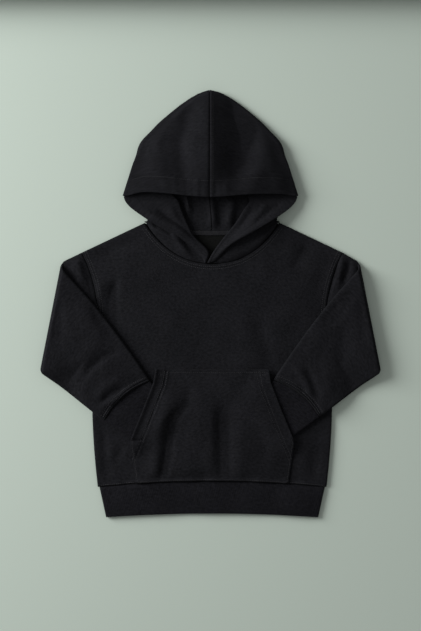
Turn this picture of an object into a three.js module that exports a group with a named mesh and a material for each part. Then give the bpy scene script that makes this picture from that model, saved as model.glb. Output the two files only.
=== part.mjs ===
// Toddler hoodie in heavy black fleece, laid flat with its front up, its sleeves folded over
// the chest and both cuffs tucked into the front pocket.
// Millimetres: +X to the wearer's left (right as seen from above), +Y from hem to hood, +Z up.
// The garment lies on z = 0. Every piece is a wall of real thickness round the middle of its cloth.
import * as THREE from "three";

// Cloth
const FLEECE = 1.8; // thickness of the body cloth
const RIB = 2.0; // thickness of the doubled rib knit of hem band and cuffs
const TAPE = 0.7; // thickness of the neck tape
const SEAM_GAP = 0.3; // between two pieces at a seam
const REST_GAP = 0.4; // between cloth and the cloth it lies on
const EDGE_RADIUS = 1.6; // to the middle of the cloth, where two layers join at an edge
const CUFF_RADIUS = 1.3;

// Heights of the middle of the cloth
const LOWER_Z = FLEECE / 2; // the layer that lies on the surface
const UPPER_Z = LOWER_Z + 2 * EDGE_RADIUS; // the layer above it, where nothing lifts it
const CHEST_LOFT = 2.3; // how much further the middle of the chest stands up

// Body outline, half of it, from the middle line of the garment
const BODY_SHIFT = 2.2; // the body lies a little right of the hood's middle
const HEM_CORNER = [152.8, -245];
const HEM_MIDDLE_Y = -235.5;
const SIDE_MIDDLE = [160, -150];
const UNDERARM = [158, -62];
const SHOULDER_TIP = [175, 67.5];
const ARMHOLE_BOW = 12;
const UNDERARM_GAP = 1.5; // between the sleeve and the turned edges of the side seam
const NECK_SIDE = [90.5, 107.5];
const FRONT_NECK_Y = 53;
const FRONT_NECK_HANDLES = [
  [72, 80],
  [45, 53],
];
const BACK_NECK_Y = 97;
const BACK_NECK_HANDLES = [
  [72, 101],
  [40, 97],
];
const FRONT_NECK_STEPS = 8; // each side
const BACK_NECK_STEPS = 5;
const SHOULDER_SHARE = 0.24; // of the panel's top edge, for each shoulder
const UNDERARM_SHARE = 0.585; // of the panel's side edge, from the hem up

// Hem band
const BAND_TOP = [150.3, -245.5];
const BAND_TOP_MIDDLE_Y = -236;
const BAND_BOTTOM = [141.5, -286.5];
const BAND_BOTTOM_MIDDLE_Y = -281.5;

// Pocket, half of it: the side from the top corner down to the hem
const POCKET_TOP_Y = -88;
const POCKET_SIDE = [
  [75.5, -88],
  [78.5, -106],
  [94, -146],
  [108.5, -181],
  [109.5, -188],
  [103, -235],
];
const POCKET_LOFT = 2; // how far its middle stands off the body
const POCKET_RAMP = 26; // the pocket comes down to the body this far from a cuff

// Sleeves: each runs out from the armhole, turns over at the fold and comes back over the body
const FOLD_RADIUS = 4.2; // to the middle of the sleeve
const SLEEVE_BOW = 3.5; // of its upper edge
const SLEEVE_PUFF = 1.3;
const CUFF_SEAM_BOW = 8;
const CUFF_END_BOW = 3;
const SAG = 5; // how far it sinks past the body's side, where nothing is under it
const SAG_RUN = 28;
const ROOT_EDGES = { upper: [194.2, 55.4], lower: [220.5, -84.4] }; // at the fold, underneath
const TURNED_EDGES = { upper: [194.7, 42.7], lower: [222.4, -93.8] }; // at the fold, on top
const CUFFS = {
  left: {
    seamUpper: [-81.5, -104],
    seamLower: [-142.3, -156.3],
    endUpper: [-54, -140],
    endLower: [-104, -178.5],
  },
  right: {
    seamUpper: [84.8, -102.6],
    seamLower: [145.6, -151.2],
    endUpper: [56.5, -138.5],
    endLower: [110, -177],
  },
};

// Hood. Each row runs from the centre back seam round the side, forward to the roll line and
// back to the face edge. From the rim up it goes on over the outline to the seam on top.
const HOOD_SEAM_X = -1;
const FRONT_MEET_X = -5; // where the two halves meet at the front neck
const FLAP_STEPS = 4; // across the turned-out flap
const TOP_STEPS = 8; // across half the top layer
const SIDE_INSET = 2; // of the side fold, under the outline
const ROLL_RADIUS = 1.7;
const FLAP_REST = FLEECE + REST_GAP; // the turned-out flap lies this far over the layer below
const FOLD_TOP = UPPER_Z + 4 * ROLL_RADIUS; // middle of the top layer at the widest outline
const CROWN_TOP = 5.6; // and at the crown
const RIM_Y = 144; // height of the hood's widest points
const RIM_CURVE = { middle: -2.2, shoulder: 4.6, at: 0.78 }; // of the rim, from RIM_Y
const GUSSET_END_Y = 198; // the last row with four layers
const CROWN_Y = 285.9;
const DOME = { rim: 10, crown: 2 }; // how far the top layer stands up over its outline
// Rows below the rim: seam = y on the centre back, side = side fold, rollY and roll = roll line
// of each half, face = face edge, lift = how far the flap of each half stands up at its edge
const HOOD_LOWER = [
  { seam: 97.5, side: [90.6, 109.3], rollY: 54.4, roll: [-6.1, -3.9], face: [7, 58], lift: [0, 1] },
  { seam: 104, side: [86.5, 110.5], rollY: 70, roll: [-5, 5], face: [27, 79.5], lift: [1, 6] },
  { seam: 111, side: [86.5, 114], rollY: 89, roll: [-19, 19], face: [55, 97], lift: [2.5, 8.5] },
  { seam: 118, side: [90, 119], rollY: 106, roll: [-26.5, 33], face: [81.5, 112.5], lift: [4, 8] },
  { seam: 126, side: [98.5, 126], rollY: 125, roll: [-35, 45], face: [103.5, 126], lift: [4, 5.5] },
  { seam: 135, side: [108, 135], rollY: 137, roll: [-41, 53], face: [113.2, 135.5], lift: [2, 3] },
];
// Rows from the rim up: outline = x of the widest point, roll = x of the roll line underneath
const HOOD_UPPER = [
  { y: 144, outline: 116.8, roll: 50 },
  { y: 156, outline: 113, roll: 58 },
  { y: 170, outline: 108.6, roll: 68 },
  { y: 184, outline: 104.2, roll: 79 },
  { y: 198, outline: 99.4, roll: 90 },
  { y: 209, outline: 96.3, roll: 0 },
  { y: 218, outline: 91.3, roll: 0 },
  { y: 230, outline: 80, roll: 0 },
  { y: 242, outline: 68.6, roll: 0 },
  { y: 254, outline: 54.8, roll: 0 },
  { y: 265, outline: 41.2, roll: 0 },
  { y: 275, outline: 27.2, roll: 0 },
  { y: 280.5, outline: 17, roll: 0 },
  { y: 283, outline: 10.8, roll: 0 },
];

// Neck tape, inside over the back neck seam
const TAPE_HALF_LENGTH = 74;
const TAPE_WIDTH = 5.5; // below the seam
const TAPE_ABOVE = 0.4; // above it

// The largest folds: a trough (rise below 0) or a ridge along a line, with its half width
const FRONT_FOLDS = [
  { from: [-133, 28], to: [-141, -14], half: 9, rise: -1.8 },
  { from: [126, 74], to: [110, 42], half: 10, rise: -1.6 },
  { from: [72, -34], to: [80, -86], half: 11, rise: -1.6 },
  { from: [-129, -200], to: [-124, -225], half: 9, rise: -1.0 },
];
const POCKET_FOLDS = [
  { from: [-34, -126], to: [-62, -172], half: 7, rise: -3.2 },
  { from: [-62, -172], to: [-72, -234], half: 7, rise: -3.2 },
  { from: [-58, -122], to: [-84, -240], half: 12, rise: 2.8 },
  { from: [-14, -118], to: [-38, -240], half: 14, rise: 2.0 },
  { from: [12, -132], to: [6, -236], half: 10, rise: -2.2 },
  { from: [40, -128], to: [36, -236], half: 14, rise: 1.6 },
];
const SLEEVE_FOLDS = {
  left: [
    { from: [-142, -131], to: [-106, -106], half: 5, rise: -2.4 },
    { from: [-150, -126], to: [-104, -94], half: 6, rise: 1.8 },
    { from: [-172, -104], to: [-130, -64], half: 6, rise: -1.8 },
    { from: [-200, 0], to: [-205, -62], half: 9, rise: -1.4 },
    { from: [-184, -4], to: [-152, -52], half: 12, rise: 1.2 },
  ],
  right: [
    { from: [126, -88], to: [144, -132], half: 6, rise: -2.4 },
    { from: [108, -96], to: [128, -120], half: 5, rise: -1.5 },
    { from: [154, -84], to: [158, -126], half: 8, rise: 1.4 },
    { from: [188, 20], to: [166, -12], half: 8, rise: -1.5 },
    { from: [176, -22], to: [174, -90], half: 10, rise: -1.4 },
  ],
};
const HOOD_FOLDS = [
  { from: [-1, 290], to: [0, 146], half: 17, rise: 3.8 },
  { from: [26, 276], to: [47, 206], half: 17, rise: -5.6 },
  { from: [47, 218], to: [22, 162], half: 16, rise: -5.6 },
  { from: [72, 238], to: [50, 158], half: 15, rise: 2.8 },
  { from: [-34, 262], to: [-44, 158], half: 11, rise: -3.6 },
  { from: [-76, 230], to: [-84, 160], half: 14, rise: 1.8 },
];

const COLOURS = { fleece: 0x1b1b1e, rib: 0x19181d, tape: 0x242427 };

const clamp = (t, low = 0, high = 1) => Math.min(high, Math.max(low, t));
const lerp = (a, b, t) => a + (b - a) * t;
const lerp2 = (p, q, t) => [lerp(p[0], q[0], t), lerp(p[1], q[1], t)];
const smooth = (t) => clamp(t) ** 2 * (3 - 2 * clamp(t));
const steps = (count) =>
  Array.from({ length: count + 1 }, (_, i) => i / count);
const vec = (x, y, z) => new THREE.Vector3(x, y, z);

// How far a point is from a segment, and how far along it the nearest place is.
function fromSegment(x, y, a, b) {
  const [dx, dy] = [b[0] - a[0], b[1] - a[1]];
  const along = clamp(
    ((x - a[0]) * dx + (y - a[1]) * dy) / (dx * dx + dy * dy),
  );
  return {
    along,
    distance: Math.hypot(x - a[0] - along * dx, y - a[1] - along * dy),
  };
}

// The height that a list of folds adds at a place: full in the middle of each, less at its ends.
function relief(folds, x, y) {
  let height = 0;
  for (const { from, to, half, rise } of folds) {
    const { along, distance } = fromSegment(x, y, from, to);
    const fade = 1 - 0.65 * Math.abs(2 * along - 1) ** 3;
    height += rise * fade * Math.exp(-((distance / half) ** 2));
  }
  return height;
}

// A closed wall of even thickness round cloth given as grids of rows of points. Grids that share
// points are joined there. With loop, each row closes on itself. The wall stands off each point
// the way its faces look, as changed by facing.
function clothWall(grids, thickness, facing = (_, normal) => normal) {
  const points = [];
  const faces = [];
  const known = new Map();
  const number = (p) => {
    const key = p
      .toArray()
      .map((c) => Math.round(c * 1e4))
      .join();
    if (!known.has(key)) {
      known.set(key, points.length);
      points.push(p);
    }
    return known.get(key);
  };
  const face = (a, b, c) => {
    if (a !== b && b !== c && c !== a) faces.push([a, b, c]);
  };
  for (const { rows, loop } of grids) {
    const ids = rows.map((row) => row.map(number));
    for (let i = 0; i + 1 < ids.length; i++) {
      const count = ids[i].length;
      for (let j = 0; j < (loop ? count : count - 1); j++) {
        const next = (j + 1) % count;
        const [a, b, c, d] = [
          ids[i][j],
          ids[i][next],
          ids[i + 1][next],
          ids[i + 1][j],
        ];
        face(a, b, c);
        face(a, c, d);
      }
    }
  }
  const normals = points.map(() => vec(0, 0, 0));
  const edges = new Map();
  for (const [a, b, c] of faces) {
    const normal = vec(0, 0, 0)
      .subVectors(points[b], points[a])
      .cross(vec(0, 0, 0).subVectors(points[c], points[a]));
    for (const [corner, one, other] of [
      [a, b, c],
      [b, c, a],
      [c, a, b],
    ]) {
      const p = vec(0, 0, 0).subVectors(points[one], points[corner]);
      const q = vec(0, 0, 0).subVectors(points[other], points[corner]);
      normals[corner].addScaledVector(
        normal.clone().normalize(),
        p.angleTo(q),
      );
      edges.set(`${corner},${one}`, [corner, one]);
    }
  }
  points.forEach((p, i) => normals[i].copy(facing(p, normals[i])).normalize());
  const position = [thickness / 2, -thickness / 2].flatMap((half) =>
    points.flatMap((p, i) => p.clone().addScaledVector(normals[i], half).toArray()),
  );
  const count = points.length;
  const index = [];
  for (const [a, b, c] of faces)
    index.push(a, b, c, a + count, c + count, b + count);
  for (const [a, b] of edges.values())
    if (!edges.has(`${b},${a}`))
      index.push(b, a, a + count, b, a + count, b + count);
  const geometry = new THREE.BufferGeometry();
  geometry.setAttribute(
    "position",
    new THREE.Float32BufferAttribute(position, 3),
  );
  geometry.setIndex(index);
  return geometry;
}

// Body panels

const bezier = (p0, p1, p2, p3, t) =>
  [0, 1].map(
    (k) =>
      (1 - t) ** 3 * p0[k] +
      3 * (1 - t) ** 2 * t * p1[k] +
      3 * (1 - t) * t ** 2 * p2[k] +
      t ** 3 * p3[k],
  );

// A place on a line from a to b that bows out by the given height to its right-hand side.
function bowed(a, b, bow, t) {
  const length = Math.hypot(b[0] - a[0], b[1] - a[1]);
  const out = 4 * t * (1 - t) * bow;
  const [x, y] = lerp2(a, b, t);
  return [
    x + ((b[1] - a[1]) / length) * out,
    y - ((b[0] - a[0]) / length) * out,
  ];
}

// The right side seam, t from the hem up to the underarm, through its widest part.
function sideSeam(t) {
  const across = (k) =>
    2 * SIDE_MIDDLE[k] - (HEM_CORNER[k] + UNDERARM[k]) / 2;
  return [0, 1].map(
    (k) =>
      (1 - t) ** 2 * HEM_CORNER[k] +
      2 * t * (1 - t) * across(k) +
      t ** 2 * UNDERARM[k],
  );
}

// The panel's right edge, v from hem to shoulder tip: side seam, then armhole.
const panelSide = (v) =>
  v < UNDERARM_SHARE
    ? sideSeam(v / UNDERARM_SHARE)
    : bowed(
        UNDERARM,
        SHOULDER_TIP,
        -ARMHOLE_BOW,
        (v - UNDERARM_SHARE) / (1 - UNDERARM_SHARE),
      );

// Half a neckline, t from the side to the middle.
const neckline = (middleY, handles, t) =>
  bezier(NECK_SIDE, handles[0], handles[1], [0, middleY], t);

// The panel's top edge, u from the left shoulder tip to the right one.
function panelTop(u, middleY, handles) {
  const share = Math.min(u, 1 - u);
  const [x, y] =
    share < SHOULDER_SHARE
      ? lerp2(SHOULDER_TIP, NECK_SIDE, share / SHOULDER_SHARE)
      : neckline(
          middleY,
          handles,
          (share - SHOULDER_SHARE) / (0.5 - SHOULDER_SHARE),
        );
  return [u < 0.5 ? -x : x, y];
}

// The seam to the hem band, u from left to right.
function panelHem(u) {
  const x = lerp(-HEM_CORNER[0], HEM_CORNER[0], u);
  const rise = HEM_MIDDLE_Y - HEM_CORNER[1];
  return [x, HEM_CORNER[1] + rise * (1 - (x / HEM_CORNER[0]) ** 2)];
}

// A place in a patch between four edges.
function coons(u, v, bottom, top, right) {
  const left = (t) => [-right(t)[0], right(t)[1]];
  return [0, 1].map(
    (k) =>
      lerp(bottom(u)[k], top(u)[k], v) +
      lerp(left(v)[k], right(v)[k], u) -
      lerp(
        lerp(bottom(0)[k], bottom(1)[k], u),
        lerp(top(0)[k], top(1)[k], u),
        v,
      ),
  );
}

const JOINED_EDGES = [
  [SHOULDER_TIP, NECK_SIDE],
  ...steps(8)
    .slice(1)
    .map((t) => [sideSeam(t - 1 / 8), sideSeam(t)]),
];

// The nearest edge where front and back are joined: how far it is and which way is out.
function nearestJoin(x, y) {
  const side = Math.abs(x);
  const found = JOINED_EDGES.map(([a, b]) => {
    const length = Math.hypot(b[0] - a[0], b[1] - a[1]);
    const out = [(b[1] - a[1]) / length, (a[0] - b[0]) / length];
    return { ...fromSegment(side, y, a, b), out };
  }).sort((p, q) => p.distance - q.distance)[0];
  const { distance, out } = found;
  return { distance, out: vec(x < 0 ? -out[0] : out[0], out[1], 0) };
}

const joinDistance = (x, y) => nearestJoin(x, y).distance;

// How far a layer turns towards the other one near an edge where they are joined.
function edgeTurn(distance) {
  const short = clamp(EDGE_RADIUS - distance, 0, EDGE_RADIUS);
  const turn = EDGE_RADIUS - Math.sqrt(EDGE_RADIUS ** 2 - short ** 2);
  return Math.min(turn, EDGE_RADIUS - SEAM_GAP / 2);
}

// The loft of the chest: none near a joined edge or under the folded sleeves.
function loft(x, y) {
  const [a, b] = [TURNED_EDGES.upper, CUFFS.right.seamUpper];
  const length = Math.hypot(a[0] - b[0], a[1] - b[1]);
  const past =
    ((a[1] - b[1]) * (b[0] - Math.abs(x)) +
      (a[0] - b[0]) * (y - b[1])) /
    length;
  return (
    CHEST_LOFT * smooth(joinDistance(x, y) / 55) * smooth((past - 4) / 45)
  );
}

// Middle of the front layer, in the body's own coordinates, without the turn at its edges.
const frontZ = (x, y) => UPPER_Z + loft(x, y) + relief(FRONT_FOLDS, x, y);

const spread = (from, to, count) => steps(count).map((t) => lerp(from, to, t));
const EDGE_STEPS = [0, 1 - Math.SQRT1_2, 1].map((step) => step * EDGE_RADIUS);
const BODY_WIDTH = 2 * SHOULDER_TIP[0];
const ARMHOLE = Math.hypot(SHOULDER_TIP[0] - UNDERARM[0], SHOULDER_TIP[1] - UNDERARM[1]);
const ARMHOLE_STEPS = 8; // between the turned edges at its two ends

// A body panel with its neckline through middleY. toJoin is 1 where its edges turn up to the
// other panel, -1 where they turn down.
function panel({ middleY, handles, across, neck, up, height, toJoin }) {
  const fine = [...EDGE_STEPS, 6].map((d) => d / BODY_WIDTH);
  const left = [
    ...fine,
    ...spread(fine[3], SHOULDER_SHARE, across).slice(1),
    ...spread(SHOULDER_SHARE, 0.5, neck).slice(1),
  ];
  const us = [...left, ...left.slice(0, -1).reverse().map((u) => 1 - u)];
  const alongArmhole = [
    ...EDGE_STEPS,
    ...spread(EDGE_RADIUS, ARMHOLE - EDGE_RADIUS, ARMHOLE_STEPS).slice(1, -1),
    ...EDGE_STEPS.map((d) => ARMHOLE - d).reverse(),
  ];
  const vs = [
    ...spread(0, UNDERARM_SHARE, up).slice(0, -1),
    ...alongArmhole.map((d) => lerp(UNDERARM_SHARE, 1, d / ARMHOLE)),
  ];
  const top = (u) => panelTop(u, middleY, handles);
  const joined = new Map();
  const rows = vs.map((v) =>
    us.map((u) => {
      const [x, y] = coons(u, v, panelHem, top, panelSide);
      const { distance, out } = nearestJoin(x, y);
      const point = vec(x + BODY_SHIFT, y, height(x, y) + toJoin * edgeTurn(distance));
      const atSide = (u === 0 || u === 1) && v <= UNDERARM_SHARE;
      const atShoulder = v === 1 && Math.min(u, 1 - u) <= SHOULDER_SHARE;
      if (atSide || atShoulder) {
        point.z = height(x, y) + toJoin * edgeTurn(0);
        joined.set(point, out.multiplyScalar(-toJoin));
      }
      return point;
    }),
  );
  return clothWall([{ rows }], FLEECE, (p, normal) => joined.get(p) ?? normal);
}

const backPanel = () =>
  panel({
    middleY: BACK_NECK_Y,
    handles: BACK_NECK_HANDLES,
    across: 3,
    neck: BACK_NECK_STEPS,
    up: 5,
    height: () => LOWER_Z,
    toJoin: 1,
  });

const frontPanel = () =>
  panel({
    middleY: FRONT_NECK_Y,
    handles: FRONT_NECK_HANDLES,
    across: 5,
    neck: FRONT_NECK_STEPS,
    up: 10,
    height: frontZ,
    toJoin: -1,
  });

// Tubes: sleeves, cuffs and hem band

// A flattened ring of cloth from edge a to edge b. place(x, y, h) puts a point of it in space,
// with h 1 on one layer, -1 on the other and between them round the two edges.
function ring({ a, b, bow = 0, radius, across, place }) {
  const length = Math.hypot(b[0] - a[0], b[1] - a[1]);
  const at = (s, h) => place(...bowed(a, b, bow, s / length), h);
  const flat = spread(radius, length - radius, across);
  const turns = [45, 0, -45].map(THREE.MathUtils.degToRad);
  return [
    ...flat.map((s) => at(s, 1)),
    ...turns.map((t) =>
      at(length - radius + radius * Math.cos(t), Math.sin(t)),
    ),
    ...flat.reverse().map((s) => at(s, -1)),
    ...turns.map((t) => at(radius - radius * Math.cos(t), -Math.sin(t))),
  ];
}

// Height between a lower and an upper layer, h 1 on the lower one where the cloth is turned over.
const between = (lower, upper, h) => (lower + upper) / 2 - (h * (upper - lower)) / 2;

function hemBand() {
  const low = RIB / 2;
  const high = low + 2 * EDGE_RADIUS;
  const rows = steps(4).map((t) => {
    const half = lerp(BAND_TOP[0], BAND_BOTTOM[0], t);
    const cornerY = lerp(BAND_TOP[1], BAND_BOTTOM[1], t);
    const middleY = lerp(BAND_TOP_MIDDLE_Y, BAND_BOTTOM_MIDDLE_Y, t);
    return ring({
      a: [-half, cornerY],
      b: [half, cornerY],
      bow: cornerY - middleY,
      radius: EDGE_RADIUS,
      across: 18,
      place: (x, y, h) => vec(x + BODY_SHIFT, y, between(low, high, -h)),
    });
  });
  return clothWall([{ rows, loop: true }], RIB);
}

const mirrored = ([x, y], side) => [side * x, y];

// The lower layer of a folded sleeve: it lies on the body or the sleeve's own first stretch, and
// sinks where it passes both.
function sleeveRest(x, y) {
  const out = Math.abs(x);
  const pastSide = out - SIDE_MIDDLE[0];
  const dx = ROOT_EDGES.lower[0] - UNDERARM[0];
  const dy = ROOT_EDGES.lower[1] - UNDERARM[1];
  const below = (dy * (out - UNDERARM[0]) - dx * (y - UNDERARM[1])) / Math.hypot(dx, dy);
  const sag = SAG * smooth((Math.min(pastSide, below) - 3) / SAG_RUN);
  return frontZ(x - BODY_SHIFT, y) + FLEECE + REST_GAP - sag;
}

function sleeve(name) {
  const side = name === "left" ? -1 : 1;
  const cuff = CUFFS[name];
  const gap = SEAM_GAP * side;
  const armhole = {
    a: [side * SHOULDER_TIP[0] + BODY_SHIFT + gap, SHOULDER_TIP[1]],
    b: [side * (UNDERARM[0] + UNDERARM_GAP) + BODY_SHIFT, UNDERARM[1]],
  };
  const root = {
    a: mirrored(ROOT_EDGES.upper, side),
    b: mirrored(ROOT_EDGES.lower, side),
  };
  const turned = {
    a: mirrored(TURNED_EDGES.upper, side),
    b: mirrored(TURNED_EDGES.lower, side),
  };
  const end = { a: cuff.seamUpper, b: cuff.seamLower };
  const ringAt = (from, to, t, bow, place) =>
    ring({
      a: lerp2(from.a, to.a, t),
      b: lerp2(from.b, to.b, t),
      bow,
      radius: EDGE_RADIUS,
      across: ARMHOLE_STEPS,
      place,
    });
  const middle = LOWER_Z + EDGE_RADIUS;
  const flat = (x, y, h) => vec(x, y, middle + h * EDGE_RADIUS);
  const rows = [0, 0.3, 0.65, 1].map((t) =>
    ringAt(armhole, root, t, side * ARMHOLE_BOW * (1 - t) ** 1.5, flat),
  );
  const along = Math.hypot(root.a[0] - root.b[0], root.a[1] - root.b[1]);
  const out = [
    (side * (root.a[1] - root.b[1])) / along,
    (side * (root.b[0] - root.a[0])) / along,
  ];
  for (const degrees of [30, 60, 90, 120, 150]) {
    const angle = THREE.MathUtils.degToRad(degrees);
    const wrap = (x, y, h) => {
      const reach = FOLD_RADIUS - h * EDGE_RADIUS;
      return vec(
        x + out[0] * Math.sin(angle) * reach,
        y + out[1] * Math.sin(angle) * reach,
        middle + FOLD_RADIUS - Math.cos(angle) * reach,
      );
    };
    rows.push(ringAt(root, turned, degrees / 180, 0, wrap));
  }
  const foldLift =
    middle + 2 * FOLD_RADIUS - EDGE_RADIUS - (UPPER_Z + FLEECE + REST_GAP);
  for (const t of spread(0, 1, 8)) {
    const edge = bowed(turned.a, end.a, side * SLEEVE_BOW, t);
    const lift = foldLift * (1 - smooth(t / 0.45));
    const place = (x, y, h) => {
      const lower = sleeveRest(x, y) + lift;
      const across = fromSegment(x, y, edge, lerp2(turned.b, end.b, t)).along;
      const puff =
        SLEEVE_PUFF * Math.sin(Math.PI * across) +
        relief(SLEEVE_FOLDS[name], x, y) * smooth(across * 6) * smooth((1 - across) * 6);
      return vec(x, y, between(lower, lower + 2 * EDGE_RADIUS + Math.max(puff, -1.2), h));
    };
    rows.push(
      ring({
        a: edge,
        b: lerp2(turned.b, end.b, t),
        bow: -side * CUFF_SEAM_BOW * smooth(t * 1.2 - 0.2),
        radius: EDGE_RADIUS,
        across: ARMHOLE_STEPS,
        place,
      }),
    );
  }
  return clothWall([{ rows, loop: true }], FLEECE);
}

// Middle of a cuff's lower layer, which lies on the front panel.
const cuffRest = (x, y) =>
  frontZ(x - BODY_SHIFT, y) + (FLEECE + RIB) / 2 + REST_GAP;

function cuff(name) {
  const side = name === "left" ? -1 : 1;
  const { seamUpper, seamLower, endUpper, endLower } = CUFFS[name];
  const length = Math.hypot(
    seamUpper[0] - endUpper[0],
    seamUpper[1] - endUpper[1],
  );
  const start = (2 * SEAM_GAP) / length;
  const rows = spread(start, 1, 4).map((t) =>
    ring({
      a: lerp2(seamUpper, endUpper, t),
      b: lerp2(seamLower, endLower, t),
      bow: -side * lerp(CUFF_SEAM_BOW, CUFF_END_BOW, t),
      radius: CUFF_RADIUS,
      across: 8,
      place: (x, y, h) => {
        const lower = cuffRest(x, y);
        return vec(x, y, between(lower, lower + 2 * CUFF_RADIUS, h));
      },
    }),
  );
  return clothWall([{ rows, loop: true }], RIB);
}

// Pocket

// How far a place is from a cuff's outline, 0 on the cuff.
function cuffDistance({ seamUpper, seamLower, endUpper, endLower }, x, y) {
  const corners = [seamUpper, seamLower, endLower, endUpper];
  let best = Infinity;
  let inside = true;
  let turn = 0;
  corners.forEach((a, i) => {
    const b = corners[(i + 1) % corners.length];
    best = Math.min(best, fromSegment(x, y, a, b).distance);
    const cross = (b[0] - a[0]) * (y - a[1]) - (b[1] - a[1]) * (x - a[0]);
    if (turn === 0) turn = Math.sign(cross);
    if (Math.sign(cross) !== turn) inside = false;
  });
  return inside ? 0 : best;
}

function pocketZ(x, y) {
  const world = x + BODY_SHIFT;
  const near = Math.min(
    cuffDistance(CUFFS.left, world, y),
    cuffDistance(CUFFS.right, world, y),
  );
  const onBody = frontZ(x, y) + FLEECE + REST_GAP;
  const onCuff =
    frontZ(x, y) + FLEECE + RIB + 2 * REST_GAP + 2 * CUFF_RADIUS;
  const share = 1 - smooth((near - 3) / POCKET_RAMP);
  return lerp(onBody, onCuff, share);
}

function pocketSide(v) {
  const lengths = POCKET_SIDE.slice(1).map((p, i) =>
    Math.hypot(p[0] - POCKET_SIDE[i][0], p[1] - POCKET_SIDE[i][1]),
  );
  let rest = (1 - v) * lengths.reduce((a, b) => a + b);
  for (let i = 0; i < lengths.length; i++) {
    if (rest <= lengths[i] || i === lengths.length - 1)
      return lerp2(
        POCKET_SIDE[i],
        POCKET_SIDE[i + 1],
        clamp(rest / lengths[i]),
      );
    rest -= lengths[i];
  }
}

function pocket() {
  const bottomHalf = POCKET_SIDE[POCKET_SIDE.length - 1][0];
  const bottom = (u) => panelHem((lerp(-bottomHalf, bottomHalf, u) / HEM_CORNER[0] + 1) / 2);
  const top = (u) => [
    lerp(-POCKET_SIDE[0][0], POCKET_SIDE[0][0], u),
    POCKET_TOP_Y,
  ];
  const side = (v) => (v === 0 ? bottom(1) : pocketSide(v));
  const rows = steps(18).map((v) =>
    steps(24).map((u) => {
      const [x, y] = coons(u, v, bottom, top, side);
      const inside = smooth(6 * Math.min(u, 1 - u)) * smooth(4 * (1 - v)) * smooth(9 * v);
      const folds = inside * (POCKET_LOFT + relief(POCKET_FOLDS, x + BODY_SHIFT, y));
      return vec(x + BODY_SHIFT, y, pocketZ(x, y) + Math.max(0, folds));
    }),
  );
  return clothWall([{ rows }], FLEECE);
}

// Hood

// A row of points at even steps, place(t) giving each.
const course = (count, place) => steps(count).map(place);

// Half a turn of cloth from height low to high: the points between its two ends. Its outermost
// place is at tip, the way it faces is out. With early, that many points are below the tip.
function halfTurn(tip, out, low, high, count, early = (count - 1) / 2) {
  const radius = (high - low) / 2;
  return Array.from({ length: count }, (_, i) => {
    const quarters = i < early ? (i + 1) / (early + 1) : 1 + (i - early) / (count - early);
    const angle = (Math.PI / 2) * quarters;
    const back = radius * (Math.sin(angle) - 1);
    return vec(
      tip[0] + out[0] * back,
      tip[1] + out[1] * back,
      low + radius * (1 - Math.cos(angle)),
    );
  });
}

// The whole neckline from the left side to the right one, moved away from the body by off.
function neckPoint(u, middleY, handles, off) {
  const at = (w) => {
    const [x, y] = neckline(middleY, handles, 2 * Math.min(w, 1 - w));
    return [w < 0.5 ? -x : x, y];
  };
  const [p, q] = [at(Math.max(u - 0.01, 0)), at(Math.min(u + 0.01, 1))];
  const length = Math.hypot(q[0] - p[0], q[1] - p[1]);
  const [x, y] = at(u);
  return [
    x + BODY_SHIFT - ((q[1] - p[1]) / length) * off,
    y + ((q[0] - p[0]) / length) * off,
  ];
}

const seamX = (y) => lerp(BODY_SHIFT, HOOD_SEAM_X, smooth((y - 100) / 50));

// The rim's y at a share s of the way out from the middle.
function rimY(s) {
  const { middle, shoulder, at } = RIM_CURVE;
  const rise = smooth(s / at);
  const fall = smooth((s - at) / (1 - at));
  return RIM_Y + middle * (1 - rise) + shoulder * rise * (1 - fall);
}

// Height of the top layer's middle at the outline.
const outlineTop = (y) =>
  lerp(FOLD_TOP, CROWN_TOP, smooth((y - GUSSET_END_Y) / (CROWN_Y - GUSSET_END_Y - 20)));

// Height of the top layer's middle at a share s of the way out.
function topLayerZ(x, y, s) {
  const rise = lerp(DOME.rim, DOME.crown, smooth((y - RIM_Y) / (CROWN_Y - RIM_Y)));
  const inside = 1 - s ** 2;
  return outlineTop(y) + rise * inside + relief(HOOD_FOLDS, x, y) * smooth(inside * 2.5);
}

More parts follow.
